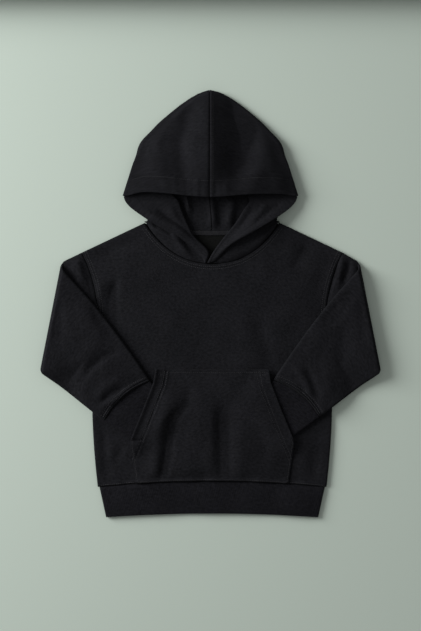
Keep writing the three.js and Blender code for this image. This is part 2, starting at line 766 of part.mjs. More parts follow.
function hoodHalf(name) {
  const side = name === "left" ? -1 : 1;
  const half = (SEAM_GAP / 2) * side;
  const [outer, inward] = [
    [side, 0],
    [-side, 0],
  ];
  const lowerRows = HOOD_LOWER.map((row) => ({
    ...row,
    side: [side * row.side[0] + BODY_SHIFT * (1 - smooth((row.side[1] - 108) / 30)), row.side[1]],
    roll: [row.roll[side < 0 ? 0 : 1], row.rollY],
    lift: row.lift[side < 0 ? 0 : 1],
    face: mirrored(row.face, side),
  }));
  const upperRows = HOOD_UPPER.map((row) => ({
    ...row,
    seam: row.y,
    side: [side * (row.outline - SIDE_INSET), row.y],
    roll: [side * row.roll, row.y],
    face: [side * row.outline, row.y],
  }));
  const rimIndex = lowerRows.length;
  const neckEnd = 0.5 + (FRONT_MEET_X - BODY_SHIFT) / (2.7 * NECK_SIDE[0]);
  const neckSteps = steps(2 * FRONT_NECK_STEPS)
    .map((u) => (side < 0 ? u : 1 - u))
    .filter((u) => side * (u - neckEnd) > 0.02);
  neckSteps.push(neckEnd);
  const neckRun = neckSteps.map((u) => (u - neckSteps[0]) / (neckEnd - neckSteps[0]));

  // Back layer, side fold, middle layer, roll and turned-out flap of one row.
  function underneath(row, i) {
    const fade = clamp(1 - i / rimIndex);
    const start = [seamX(row.seam) + half, row.seam];
    const sideEnd = [row.side[0] - side * EDGE_RADIUS, row.side[1]];
    const bow = (reference, from, to, t) => {
      const straight = lerp2(reference(0), reference(1), t);
      const [x, y] = lerp2(from, to, t);
      const [rx, ry] = reference(t);
      return [x + fade * (rx - straight[0]), y + fade * (ry - straight[1])];
    };
    const backNeck = (t) =>
      neckPoint(0.5 + (side * t) / 2, BACK_NECK_Y, BACK_NECK_HANDLES, 0.5);
    const frontNeck = (t) =>
      neckPoint(lerp(0.5 + side / 2, neckEnd, t), FRONT_NECK_Y, FRONT_NECK_HANDLES, 0.6);
    const back = course(BACK_NECK_STEPS, (t) => vec(...bow(backNeck, start, sideEnd, t), LOWER_Z));
    const rollEnd = [row.roll[0] + side * ROLL_RADIUS, row.roll[1]];
    const middle = neckRun.map((t) => {
      const [nx, ny] = frontNeck(t);
      const z = lerp(UPPER_Z, frontZ(nx - BODY_SHIFT, ny), fade);
      return vec(...bow(frontNeck, sideEnd, rollEnd, t), z);
    });
    const rollZ = middle[middle.length - 1].z;
    const flap = course(FLAP_STEPS, (t) => {
      const [x, y] = lerp2(rollEnd, [row.face[0] - side * (row.y ? ROLL_RADIUS : 0), row.face[1]], t);
      const settled = row.y ? 2 * ROLL_RADIUS : lerp(2 * ROLL_RADIUS, FLAP_REST, t);
      const under = lerp(rollZ, UPPER_Z, t);
      return vec(x, y, under + settled + (row.lift ?? 0) * smooth(t * 1.1));
    });
    return [
      ...back,
      ...halfTurn(row.side, outer, LOWER_Z, UPPER_Z, 3),
      ...middle,
      ...halfTurn(row.roll, inward, rollZ, rollZ + 2 * ROLL_RADIUS, 3),
      ...flap,
    ];
  }

  // The top layer of one row, from the outline to the seam.
  function onTop(row, out) {
    const z = outlineTop(row.y);
    const radius = row.turn;
    const from = [row.face[0] - out[0] * radius, row.face[1] - out[1] * radius];
    const fade = clamp(1 - (row.y - RIM_Y) / 40);
    return course(TOP_STEPS, (t) => {
      const [x, y] = lerp2(from, [seamX(200) + half, row.y], t);
      const s = Math.abs(x) / Math.abs(from[0]);
      return vec(x, y + fade * (rimY(s) - RIM_Y), Math.max(z, topLayerZ(x, y, s)));
    });
  }

  const lower = lowerRows.map(underneath);
  const rim = underneath(upperRows[0], rimIndex);
  const middleCount = rim.length - (BACK_NECK_STEPS + 1) + 3;
  // Five points of a turn, the first two repeated to fill a row of middleCount.
  const repeated = (turn) =>
    Array.from({ length: middleCount }, (_, j) => {
      const past = j - (middleCount - 3);
      return turn[past < 0 ? Math.floor((2 * j) / (middleCount - 3)) : 2 + past];
    });
  const upper = upperRows.map((row, i) => {
    const [p, q] = [upperRows[Math.max(i - 1, 0)].face, upperRows[Math.min(i + 1, upperRows.length - 1)].face];
    const length = Math.hypot(q[0] - p[0], q[1] - p[1]);
    const lean = smooth((row.y - GUSSET_END_Y) / 40);
    const out = lerp2(outer, [(side * (q[1] - p[1])) / length, (side * (p[0] - q[0])) / length], lean);
    const top = outlineTop(row.y);
    if (row.y < GUSSET_END_Y + 1) {
      const tip = row.face;
      return [
        ...underneath(row, rimIndex),
        ...halfTurn(tip, outer, UPPER_Z + 2 * ROLL_RADIUS, top, 3),
        ...onTop({ ...row, turn: ROLL_RADIUS }, outer),
      ];
    }
    const radius = (top - LOWER_Z) / 2;
    const end = [row.face[0] - out[0] * radius, row.face[1] - out[1] * radius];
    const start = [seamX(row.y) + half, row.y];
    const back = course(BACK_NECK_STEPS, (t) => vec(...lerp2(start, end, t), LOWER_Z));
    const open = upperRows[i - 1].y < GUSSET_END_Y + 1;
    const fold = open
      ? halfTurn(row.face, out, LOWER_Z, top, middleCount, middleCount - 3)
      : repeated(halfTurn(row.face, out, LOWER_Z, top, 5));
    return [...back, ...fold, ...onTop({ ...row, turn: radius }, out)];
  });

  // The crown's last row runs along the seam itself.
  const crownTop = outlineTop(CROWN_Y);
  const crownRadius = (crownTop - LOWER_Z) / 2;
  const x = seamX(CROWN_Y) + half;
  const crownY = CROWN_Y - crownRadius;
  const lastY = upperRows[upperRows.length - 1].y;
  const run = (z) => (t) => vec(x, lerp(lastY + 0.3, crownY, t), z);
  const crownTurn = halfTurn([x, CROWN_Y], [0, 1], LOWER_Z, crownTop, 5);
  upper.push([
    ...course(BACK_NECK_STEPS, run(LOWER_Z)),
    ...repeated(crownTurn),
    ...course(TOP_STEPS, run(crownTop)).reverse(),
  ]);
  const atSeam = (p) => Math.abs(p.x - seamX(p.y) - half) < 0.01;
  return clothWall([{ rows: [...lower, rim] }, { rows: upper }], FLEECE, (p, normal) =>
    atSeam(p) ? normal.setX(0) : normal,
  );
}

// Neck tape, over the seam between back panel and hood
function neckTape() {
  const z = LOWER_Z + (FLEECE + TAPE) / 2 + SEAM_GAP;
  const share = TAPE_HALF_LENGTH / NECK_SIDE[0] / 2;
  const rows = [-TAPE_WIDTH, -TAPE_WIDTH / 2, 0, TAPE_ABOVE].map((off) =>
    spread(0.5 - share, 0.5 + share, 14).map((u) =>
      vec(...neckPoint(u, BACK_NECK_Y, BACK_NECK_HANDLES, off), z),
    ),
  );
  return clothWall([{ rows }], TAPE);
}

const materials = Object.fromEntries(
  Object.entries(COLOURS).map(([name, color]) => [
    name,
    new THREE.MeshStandardMaterial({ color, roughness: 0.95, metalness: 0 }),
  ]),
);

const hoodie = new THREE.Group();
function add(name, geometry, material) {
  const mesh = new THREE.Mesh(geometry, materials[material]);
  mesh.name = name;
  hoodie.add(mesh);
}

add("back_panel", backPanel(), "fleece");
add("front_panel", frontPanel(), "fleece");
add("pocket", pocket(), "fleece");
add("sleeve_left", sleeve("left"), "fleece");
add("sleeve_right", sleeve("right"), "fleece");
add("cuff_left", cuff("left"), "rib");
add("cuff_right", cuff("right"), "rib");
add("hem_band", hemBand(), "rib");
add("hood_left", hoodHalf("left"), "fleece");
add("hood_right", hoodHalf("right"), "fleece");
add("neck_tape", neckTape(), "tape");

// The origin is under the middle of the garment, on the surface it lies on.
const box = new THREE.Box3().setFromObject(hoodie);
const middle = box.getCenter(new THREE.Vector3());
for (const mesh of hoodie.children) mesh.geometry.translate(-middle.x, -middle.y, -box.min.z);

export default hoodie;
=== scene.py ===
"""Looks of a toddler hoodie in black fleece, lying flat with its front up: the hood is spread open
above, the sleeves are folded over the chest and both cuffs are tucked into the front pocket.

Every shape is worked out in millimetres, seen from above: X to the right, Y from hem to hood, Z up
off the surface. A sheet of cloth is a grid of rows, given by the middle of its thickness."""

import math

import bpy
import numpy as np
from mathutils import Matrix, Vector
from mathutils.bvhtree import BVHTree


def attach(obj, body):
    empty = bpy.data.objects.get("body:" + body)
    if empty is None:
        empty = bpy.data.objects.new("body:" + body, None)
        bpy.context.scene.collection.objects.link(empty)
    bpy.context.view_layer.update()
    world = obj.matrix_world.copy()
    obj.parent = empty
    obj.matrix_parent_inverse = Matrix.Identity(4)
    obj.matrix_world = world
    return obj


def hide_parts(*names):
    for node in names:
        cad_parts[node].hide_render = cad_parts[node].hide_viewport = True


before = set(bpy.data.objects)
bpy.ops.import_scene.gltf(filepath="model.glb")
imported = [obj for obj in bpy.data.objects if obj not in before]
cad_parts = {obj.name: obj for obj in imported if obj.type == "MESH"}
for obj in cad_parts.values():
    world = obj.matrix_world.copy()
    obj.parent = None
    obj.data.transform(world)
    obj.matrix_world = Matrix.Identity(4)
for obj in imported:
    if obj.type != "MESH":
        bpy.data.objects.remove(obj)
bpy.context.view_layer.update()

MM = 0.001
ORIGIN_Y = 0.045  # the garment's own middle lies this far up its drawing

# Cloth
FLEECE = 1.8
RIB = 2.0
TAPE = 0.7
GAP = 0.4
EDGE_RADIUS = 1.6
CUFF_RADIUS = 1.3
LOWER_Z = FLEECE / 2
UPPER_Z = LOWER_Z + 2 * EDGE_RADIUS
CHEST_LOFT = 2.3

# Body, half of its outline
BODY_SHIFT = 2.2
HEM_CORNER = (152.8, -245.8)
HEM_MIDDLE_Y = -237.8
SIDE_MIDDLE = (160, -150)
UNDERARM = (158, -62)
UNDERARM_GAP = 1.5
SHOULDER_TIP = (175, 67.5)
ARMHOLE_BOW = 12
NECK_SIDE = (90.5, 107.5)
FRONT_NECK = [(72, 80), (45, 53), (0, 53)]
BACK_NECK = [(72, 101), (40, 97), (0, 97)]
SHOULDER_SHARE = 0.24
UNDERARM_SHARE = 0.585

# Hem band, pocket
BAND_TOP = (150.3, -246.3, -238.3)
BAND_BOTTOM = (141.5, -286.5, -281.5)
POCKET_TOP_Y = -88
POCKET_SIDE = [(75.5, -88), (78.5, -106), (94, -146), (108.5, -181), (109.5, -188), (102, -241.4)]
POCKET_RAMP = 30
POCKET_LOFT = 2.0
POCKET_HEM = 12.5

# Sleeves and cuffs
FOLD_RADIUS = 4.2
SLEEVE_BOW = 3.5
SLEEVE_PUFF = 1.3
SLEEVE_AIR = 2.0  # between the two layers, on top of the body
FOLD_FLATNESS = 0.6
CUFF_SEAM_BOW = 8
CUFF_END_BOW = 3
SAG = 5
SAG_RUN = 28
ROOT_UPPER, ROOT_LOWER = (194.2, 55.4), (220.5, -84.4)
TURNED_UPPER, TURNED_LOWER = (194.7, 42.7), (222.4, -93.8)
CUFFS = {
    "left": [(-81.5, -104), (-142.3, -156.3), (-54, -140), (-104, -178.5)],
    "right": [(84.8, -102.6), (145.6, -151.2), (56.5, -138.5), (110, -177)],
}

# Hood
HOOD_SEAM_X = -1
FRONT_MEET_X = -5
ROLL_RADIUS = 1.7
SIDE_INSET = 2
FOLD_TOP = UPPER_Z + 4 * ROLL_RADIUS
CROWN_TOP = 5.6
RIM_Y = 144
GUSSET_END_Y = 198
CROWN_Y = 285.9
DOME_RIM, DOME_CROWN = 12.3, 2
RIM_HEM = 21
# y on the back seam, side fold x and y, roll line y and its x on the left and right half,
# face edge x and y, and how far the turned-out flap stands up at its edge on either half
HOOD_LOWER = np.array(
    [
        (97.5, 90.6, 109.3, 54.4, -6.1, -3.9, 7, 58, 0.0, 2.0),
        (104, 86.5, 110.5, 70, -3.6, 5, 28.5, 79.5, 0.6, 9.5),
        (111, 86.5, 114, 89, -22, 19, 59, 97, 2.5, 12.5),
        (118, 90, 119, 106, -31, 33, 84.5, 112.5, 4.0, 10.5),
        (126, 98.5, 126, 125, -39, 45, 104, 126, 3.0, 5.0),
        (135, 108, 135, 137, -43, 53, 113.2, 135.5, 1.5, 2.5),
        (144, 114.8, 144, 144, -50, 50, 116.8, 144, 0.0, 0.0),
    ]
)
# y, x of the outline, x of the roll line underneath
HOOD_UPPER = np.array(
    [
        (144, 116.8, 50),
        (156, 113, 58),
        (170, 108.6, 68),
        (184, 104.2, 79),
        (198, 99.4, 90),
        (209, 96.3, 0),
        (218, 91.3, 0),
        (230, 80, 0),
        (242, 68.6, 0),
        (254, 54.8, 0),
        (265, 41.2, 0),
        (275, 27.2, 0),
        (280.5, 17, 0),
        (283, 10.8, 0),
    ]
)

# Folds: the line each runs along, its half width to the left and right of that line, its height
BODY_FOLDS = [
    ([(-125, 38), (-128, 12), (-129, -6), (-127, -28)], 4.5, 8, -4.2),
    ([(-146, 34), (-150, 0)], 7, 6, 1.8),
    ([(-158, 70), (-128, 80), (-104, 84), (-84, 78)], 5, 9, -1.7),
    ([(-112, 62), (-110, 12)], 14, 14, 1.0),
    ([(133, 86), (122, 64), (108, 42)], 9, 7, -1.9),
    ([(150, 72), (140, 40), (128, 20)], 12, 12, 1.0),
    ([(106, 88), (88, 70)], 8, 8, -0.8),
    ([(60, -20), (74, -52), (80, -88)], 9, 12, -1.9),
    ([(40, -10), (50, -60)], 16, 12, 0.9),
    ([(-131, -216), (-124, -204), (-117, -190)], 6, 7, -1.6),
    ([(-145, -168), (-143, -200), (-139, -236)], 6, 7, -2.4),
    ([(126, -196), (124, -240)], 8, 8, 1.1),
    ([(142, -188), (140, -236)], 7, 6, -1.8),
    ([(167, 62), (160.5, 36), (153, 4)], 5, 9, 1.8),
]
POCKET_FOLDS = [
    (
        [(-28, -116), (-32, -136), (-50, -155), (-55, -180), (-58, -203), (-63, -231), (-70, -290)],
        6.5,
        7.5,
        -5.0,
    ),
    ([(-48, -116), (-66, -160), (-72, -200), (-78, -262)], 12, 12, 3.2),
    ([(-6, -112), (-20, -160), (-27, -220), (-31, -262)], 14, 18, 2.4),
    ([(14, -124), (18, -172), (20, -236), (20, -262)], 12, 9, -3.6),
    ([(1, -130), (0, -180), (-1, -236)], 8, 14, 2.0),
    ([(40, -126), (42, -180), (34, -240)], 14, 14, 1.8),
    ([(66, -150), (72, -190), (70, -230)], 9, 9, -0.8),
    ([(-78, -238), (-64, -233), (-48, -237)], 8, 5, 1.0),
]
SLEEVE_FOLDS = {
    "left": [
        ([(-147, -134), (-136, -124), (-126, -117), (-113, -112)], 3.5, 4, -3.2),
        ([(-156, -130), (-140, -112), (-124, -103), (-112, -100)], 6, 5, 1.8),
        ([(-150, -143), (-132, -131), (-112, -117), (-92, -105)], 7, 4, 2.2),
        ([(-174, -108), (-161, -87), (-142, -72), (-120, -61)], 6, 5, -2.2),
        ([(-180, -82), (-158, -62), (-138, -50)], 10, 8, 1.5),
        ([(-202, 14), (-203, -26), (-204, -60)], 9, 9, -2.4),
        ([(-168, 10), (-158, -30), (-138, -54)], 10, 22, 3.0),
        ([(-190, -98), (-166, -124)], 9, 9, 1.0),
    ],
    "right": [
        ([(124, -82), (134, -98), (141, -116), (146, -134)], 5, 6, -3.0),
        ([(106, -94), (119, -103), (130, -122)], 4, 6, -1.9),
        ([(112, -82), (126, -102), (137, -128)], 4, 4, 1.2),
        ([(152, -84), (158, -104), (158, -128)], 8, 7, 1.6),
        ([(190, 24), (179, 2), (163, -18), (150, -34)], 8, 8, -2.4),
        ([(176, -20), (178, -56), (172, -92)], 10, 11, -1.7),
        ([(200, 16), (203, -24), (206, -64)], 8, 8, -1.2),
        ([(150, -20), (140, -52), (122, -76)], 12, 12, 1.2),
    ],
}
ROOT_FOLDS = {
    "left": [
        ([(-195, 56), (-189, 43), (-179, 25)], 6, 4, -4.2),
        ([(-178, 62), (-173, 44), (-166, 24)], 2.5, 8, 2.4),
    ],
    "right": [
        ([(177, 64), (172, 42), (164.5, 14)], 7, 1.5, 2.4),
        ([(187, 64), (183.5, 44), (176, 22)], 3, 6, -5.0),
    ],
}
HOOD_TOP_FOLDS = [
    ([(-1, 300), (-1, 220), (1, 138)], 27, 50, 8.6),
    ([(-1, 300), (-1, 220), (-1, 156)], 9, 11, 1.8),
    ([(47, 290), (48, 240), (49, 218), (46, 196), (32, 174), (14, 154)], 15, 28, -6.6),
    ([(70, 236), (74, 208), (66, 176), (52, 150)], 16, 14, 2.8),
    ([(-20, 290), (-31, 240), (-39, 214), (-37, 190), (-32, 165), (-28, 134)], 11, 12, -5.6),
    ([(-64, 240), (-72, 212), (-68, 190), (-62, 156)], 10, 17, 3.0),
    ([(-96, 206), (-100, 176)], 8, 8, -1.2),
    ([(94, 204), (99, 166)], 9, 9, -1.6),
    ([(-62, 166), (-58, 150)], 6, 6, 0.9),
    ([(18, 164), (24, 146)], 6, 6, 1.3),
    ([(60, 186), (57, 160), (54, 138)], 16, 13, 2.8),
    ([(106, 190), (102, 165), (99, 142)], 9, 34, 4.2),
]
BACK_LAYER_FOLDS = [
    ([(5, 98), (5, 115), (3, 132), (2, 148)], 6.5, 3.5, 4.8),
    ([(25, 98), (26, 115), (29, 132), (30, 148)], 6.5, 5, 5.2),
    ([(-28, 116), (-30, 130), (-32, 150)], 3.5, 3, 4.0),
]
CRESCENT_FOLDS = [
    ([(-84, 106), (-62, 94), (-46, 86), (-35, 75), (-26, 62)], 10, 4.5, 6.0),
    ([(-43, 90), (-32, 79), (-21, 69), (-14, 59)], 2.6, 4.5, -5.4),
    ([(-80, 109), (-66, 103), (-55, 96), (-51, 88)], 2.4, 4, -4.6),
    ([(84, 116), (56, 97), (28, 79), (6, 64)], 20, 8, 4.5),
]
FLAP_FOLDS = [
    ([(-94, 127), (-70, 113), (-44, 98), (-14, 80)], 5, 5, 3.4),
    ([(-74, 129), (-60, 119), (-44, 107.5), (-28, 94)], 2.8, 4, -3.4),
    ([(-58, 134), (-48, 116), (-40, 102), (-30, 88)], 7, 8, 2.6),
    ([(58, 142), (51, 120), (36, 97)], 4, 5, -1.8),
    ([(96, 138), (76, 120), (54, 102)], 4, 4, -1.8),
    ([(80, 140), (64, 119), (46, 100)], 4, 4, 1.8),
    ([(50, 140), (41, 122), (28, 100)], 4, 4, 1.2),
]


# Sums on arrays of places


def smooth(t):
    t = np.clip(t, 0, 1)
    return t * t * (3 - 2 * t)


def lerp(a, b, t):
    return a + (b - a) * t


def blend2(p, q, t):
    """Points a share t of the way from p to q."""
    t = np.asarray(t, float)[..., None]
    return np.asarray(p, float) * (1 - t) + np.asarray(q, float) * t


def near_path(path, x, y):
    """How far places are from a path, how far along it they are (0 to 1), and on which side."""
    path = np.asarray(path, float)
    best = np.full(np.shape(x), 1e9)
    along = np.zeros_like(best)
    side = np.zeros_like(best)
    steps = np.hypot(*np.diff(path, axis=0).T)
    total = steps.sum()
    start = 0.0
    for (ax, ay), (bx, by), step in zip(path[:-1], path[1:], steps):
        dx, dy = bx - ax, by - ay
        t = np.clip(((x - ax) * dx + (y - ay) * dy) / (step * step), 0, 1)
        d = np.hypot(x - ax - t * dx, y - ay - t * dy)
        nearer = d < best
        best = np.where(nearer, d, best)
        along = np.where(nearer, (start + t * step) / total, along)
        side = np.where(nearer, dx * (y - ay) - dy * (x - ax), side)
        start += step
    return best, along, side


def relief(folds, x, y):
    """Height that folds add: full along the middle of each, dying away at its ends."""
    height = np.zeros(np.shape(x))
    for path, left, right, rise in folds:
        d, along, side = near_path(path, x, y)
        width = np.where(side > 0, left, right)
        ends = 0.15 + 0.85 * smooth(along / 0.3) * smooth((1 - along) / 0.3)
        height += rise * ends * np.exp(-((d / width) ** 2))
    return height


WAVES = [
    (0.062, 0.021, 0.3, 0.34),
    (-0.035, 0.058, 1.9, 0.3),
    (0.094, -0.066, 4.1, 0.16),
    (0.031, 0.112, 2.6, 0.17),
    (-0.128, -0.04, 5.3, 0.1),
    (0.083, 0.151, 0.9, 0.08),
]


def waviness(x, y):
    """The slight unevenness of cloth that was smoothed out by hand."""
    return sum(a * np.sin(kx * x + ky * y + p) for kx, ky, p, a in WAVES)


def curve_at(table, where):
    """Rows between the rows of a table, on a smooth curve over its row numbers."""
    table = np.asarray(table, float)
    where = np.asarray(where, float)
    i = np.clip(where.astype(int), 0, len(table) - 2)
    t = (where - i)[:, None]
    slope = np.gradient(table, axis=0)
    a, b, m, n = table[i], table[i + 1], slope[i], slope[i + 1]
    return (
        (2 * t**3 - 3 * t**2 + 1) * a
        + (t**3 - 2 * t**2 + t) * m
        + (3 * t**2 - 2 * t**3) * b
        + (t**3 - t**2) * n
    )


def bowed(a, b, bow, t):
    """Places on a line from a to b that bows out to its right."""
    a, b = np.asarray(a, float), np.asarray(b, float)
    dx, dy = b - a
    length = math.hypot(dx, dy)
    out = (4 * t * (1 - t) * bow)[..., None]
    return blend2(a, b, t) + out * np.array([dy, -dx]) / length


# Body outline


def side_seam(t):
    through = [2 * SIDE_MIDDLE[k] - (HEM_CORNER[k] + UNDERARM[k]) / 2 for k in (0, 1)]
    t = np.asarray(t, float)[..., None]
    return (
        (1 - t) ** 2 * np.array(HEM_CORNER)
        + 2 * t * (1 - t) * np.array(through)
        + t**2 * np.array(UNDERARM)
    )


def panel_side(v):
    v = np.asarray(v, float)
    low = side_seam(np.clip(v / UNDERARM_SHARE, 0, 1))
    high = bowed(
        UNDERARM,
        SHOULDER_TIP,
        -ARMHOLE_BOW,
        np.clip((v - UNDERARM_SHARE) / (1 - UNDERARM_SHARE), 0, 1),
    )
    return np.where((v < UNDERARM_SHARE)[:, None], low, high)


def half_neck(neck, t):
    """Half a neckline, t from the side to the middle."""
    t = np.asarray(t, float)[..., None]
    p = [np.array(q, float) for q in (NECK_SIDE, *neck)]
    return (
        (1 - t) ** 3 * p[0]
        + 3 * (1 - t) ** 2 * t * p[1]
        + 3 * (1 - t) * t**2 * p[2]
        + t**3 * p[3]
    )


def neck_line(neck, u, off=0.0):
    """The whole neckline from left to right, moved away from the body by off."""
    u = np.asarray(u, float)

    def at(w):
        p = half_neck(neck, 2 * np.minimum(w, 1 - w))
        p[..., 0] *= np.where(w < 0.5, -1, 1)
        return p

    p, q = at(np.maximum(u - 0.01, 0)), at(np.minimum(u + 0.01, 1))
    d = q - p
    d /= np.hypot(d[..., 0], d[..., 1])[..., None]
    out = np.stack([-d[..., 1], d[..., 0]], -1)
    return at(u) + out * off + np.array([BODY_SHIFT, 0])


def panel_top(u, neck):
    u = np.asarray(u, float)
    share = np.minimum(u, 1 - u)
    shoulder = blend2(SHOULDER_TIP, NECK_SIDE, np.clip(share / SHOULDER_SHARE, 0, 1))
    opening = half_neck(
        neck, np.clip((share - SHOULDER_SHARE) / (0.5 - SHOULDER_SHARE), 0, 1)
    )
    p = np.where((share < SHOULDER_SHARE)[:, None], shoulder, opening)
    p[:, 0] *= np.where(u < 0.5, -1, 1)
    return p


def panel_hem(u):
    x = lerp(-HEM_CORNER[0], HEM_CORNER[0], np.asarray(u, float))
    rise = HEM_MIDDLE_Y - HEM_CORNER[1]
    return np.stack([x, HEM_CORNER[1] + rise * (1 - (x / HEM_CORNER[0]) ** 2)], -1)


def patch(us, vs, bottom, top, right):
    """Places inside four edges, for every v and u."""
    b, t, r = bottom[None], top[None], right[:, None]
    left = right.copy()
    left[:, 0] *= -1
    u, v = us[None, :, None], vs[:, None, None]
    corners = lerp(lerp(bottom[0], bottom[-1], u), lerp(top[0], top[-1], u), v)
    return lerp(b, t, v) + lerp(left[:, None], r, u) - corners


JOINED = [SHOULDER_TIP, NECK_SIDE]
SEAM = [tuple(p) for p in side_seam(np.linspace(0, 1, 9))]
ARMHOLE_LINE = bowed(UNDERARM, SHOULDER_TIP, -ARMHOLE_BOW, np.linspace(0, 1, 17))


def join_distance(x, y):
    side = np.abs(x)
    return np.minimum(near_path(JOINED, side, y)[0], near_path(SEAM, side, y)[0])


def edge_turn(distance):
    short = np.clip(EDGE_RADIUS - distance, 0, EDGE_RADIUS)
    return np.minimum(
        EDGE_RADIUS - np.sqrt(EDGE_RADIUS**2 - short**2), EDGE_RADIUS - 0.15
    )


def loft(x, y):
    a, b = TURNED_UPPER, CUFFS["right"][0]
    length = math.hypot(a[0] - b[0], a[1] - b[1])
    past = ((a[1] - b[1]) * (b[0] - np.abs(x)) + (a[0] - b[0]) * (y - b[1])) / length
    return CHEST_LOFT * smooth(join_distance(x, y) / 55) * smooth((past - 4) / 45)


def hem_pucker(x, y, reach=9.0):
    """The gathers that the hem seam draws into the cloth above it, and its rolled edge."""
    above = y - panel_hem((x / HEM_CORNER[0] + 1) / 2)[..., 1]
    wave = (
        np.sin(x / 5.1 + 1.2) + 0.8 * np.sin(x / 8.3 - 0.6) + 0.5 * np.sin(x / 3.3 + 2)
    )
    roll = 1.1 * np.exp(-(((above - 2.2) / 1.3) ** 2))
    return 0.32 * wave * np.exp(-((above / reach) ** 2)) + roll


def front_z(x, y):
    """Middle of the front layer, in the body's own coordinates."""
    free = smooth((join_distance(x, y) - 3) / 14)
    rise = relief(BODY_FOLDS, x + BODY_SHIFT, y) + waviness(x, y)
    height = UPPER_Z + loft(x, y) + free * rise + free * hem_pucker(x, y)
    return np.maximum(height, LOWER_Z + FLEECE + 0.1)


# Making pieces


def grid_piece(name, rows, cloth, closed=False, marks=None):
    """A sheet from rows of places: a grid laid out, each of its points put in its place. marks
    are numbers kept on the cloth for its finish, such as how far away a line of stitches is; the
    finish draws the cloth in there and darkens its colour with painted shade."""
    if closed:
        rows = np.concatenate([rows, rows[:, :1]], axis=1)
        marks = {k: np.concatenate([m, m[:, :1]], axis=1) for k, m in (marks or {}).items()}
    n, m, _ = rows.shape
    bpy.ops.object.select_all(action="DESELECT")
    bpy.ops.mesh.primitive_grid_add(x_subdivisions=m - 1, y_subdivisions=n - 1, size=2)
    piece = bpy.context.object
    piece.name = name
    mesh = piece.data
    mesh.name = name
    flat = np.empty(len(mesh.vertices) * 3)
    mesh.vertices.foreach_get("co", flat)
    flat = flat.reshape(-1, 3)
    j = np.rint((flat[:, 0] + 1) / 2 * (m - 1)).astype(int)
    i = np.rint((flat[:, 1] + 1) / 2 * (n - 1)).astype(int)
    placed = (rows - np.array([0, ORIGIN_Y, 0])) * MM
    mesh.vertices.foreach_set("co", placed[i, j].ravel())
    for key in ("stitch", "seam"):
        values = (marks or {}).get(key, np.full((n, m), 99.0))
        mark = mesh.attributes.new(key, "FLOAT", "POINT")
        mark.data.foreach_set("value", values[i, j].astype(np.float32))
    across = np.linalg.norm(np.diff(rows, axis=1), axis=2)
    along = np.linalg.norm(np.diff(rows, axis=0), axis=2)
    u = np.concatenate([np.zeros((n, 1)), np.cumsum(across, axis=1)], axis=1) * MM
    v = np.concatenate([np.zeros((1, m)), np.cumsum(along, axis=0)], axis=0) * MM
    corner = np.empty(len(mesh.loops), dtype=np.int32)
    mesh.loops.foreach_get("vertex_index", corner)
    uv = np.stack([u[i, j][corner], v[i, j][corner]], -1)
    mesh.uv_layers.active.data.foreach_set("uv", uv.astype(np.float32).ravel())
    mesh.update()
    if closed:
        merge_doubles(piece)
    piece["cloth"] = cloth
    return piece


def only(piece):
    bpy.ops.object.select_all(action="DESELECT")
    piece.select_set(True)
    bpy.context.view_layer.objects.active = piece


def merge_doubles(piece):
    only(piece)
    bpy.ops.object.mode_set(mode="EDIT")
    bpy.ops.mesh.select_all(action="SELECT")
    bpy.ops.mesh.remove_doubles(threshold=1e-6)
    bpy.ops.object.mode_set(mode="OBJECT")


def join(pieces, name):
    bpy.ops.object.select_all(action="DESELECT")
    for piece in pieces:
        piece.select_set(True)
    bpy.context.view_layer.objects.active = pieces[0]
    bpy.ops.object.join()
    pieces[0].name = name
    return pieces[0]


def give_thickness(piece, thickness, edge=0.45):
    """Cloth of real thickness either side of the sheet, with soft edges."""
    only(piece)
    bpy.ops.object.modifier_add(type="SOLIDIFY")
    wall = piece.modifiers[-1]
    wall.thickness = thickness * MM
    wall.offset = 0
    bpy.ops.object.modifier_apply(modifier=wall.name)
    bpy.ops.object.modifier_add(type="BEVEL")
    soft = piece.modifiers[-1]
    soft.width = edge * MM
    soft.segments = 2
    soft.limit_method = "ANGLE"
    soft.angle_limit = math.radians(60)
    bpy.ops.object.modifier_apply(modifier=soft.name)
    bpy.ops.object.shade_smooth()
    return piece


def dress(piece, node, material):
    piece.data.materials.clear()
    piece.data.materials.append(material)
    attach(piece, "root")
    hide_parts(node)


# Stitches


def stitch_shape():
    """One stitch of thread along X, its ends drawn down into the cloth."""
    bpy.ops.object.select_all(action="DESELECT")
    bpy.ops.mesh.primitive_cylinder_add(
        vertices=6, radius=0.24, depth=2.5, rotation=(0, math.pi / 2, 0)
    )
    piece = bpy.context.object
    bpy.ops.object.transform_apply(location=True, rotation=True, scale=True)
    bpy.ops.object.mode_set(mode="EDIT")
    bpy.ops.mesh.select_all(action="SELECT")
    bpy.ops.mesh.subdivide(number_cuts=1)
    bpy.ops.object.mode_set(mode="OBJECT")
    mesh = piece.data
    points = np.empty(len(mesh.vertices) * 3)
    mesh.vertices.foreach_get("co", points)
    points = points.reshape(-1, 3)
    points[:, 2] -= 0.2 * (points[:, 0] / 1.25) ** 4
    points[:, 1:] *= 1 - 0.35 * (np.abs(points[:, :1]) / 1.25) ** 3
    faces = [tuple(p.vertices) for p in mesh.polygons]
    bpy.data.objects.remove(piece)
    return points, faces


STITCH, STITCH_FACES = stitch_shape()
STITCH_PITCH = 2.7
STITCH_SINK = 0.02
ABOVE_ALL = 40.0  # higher than any cloth


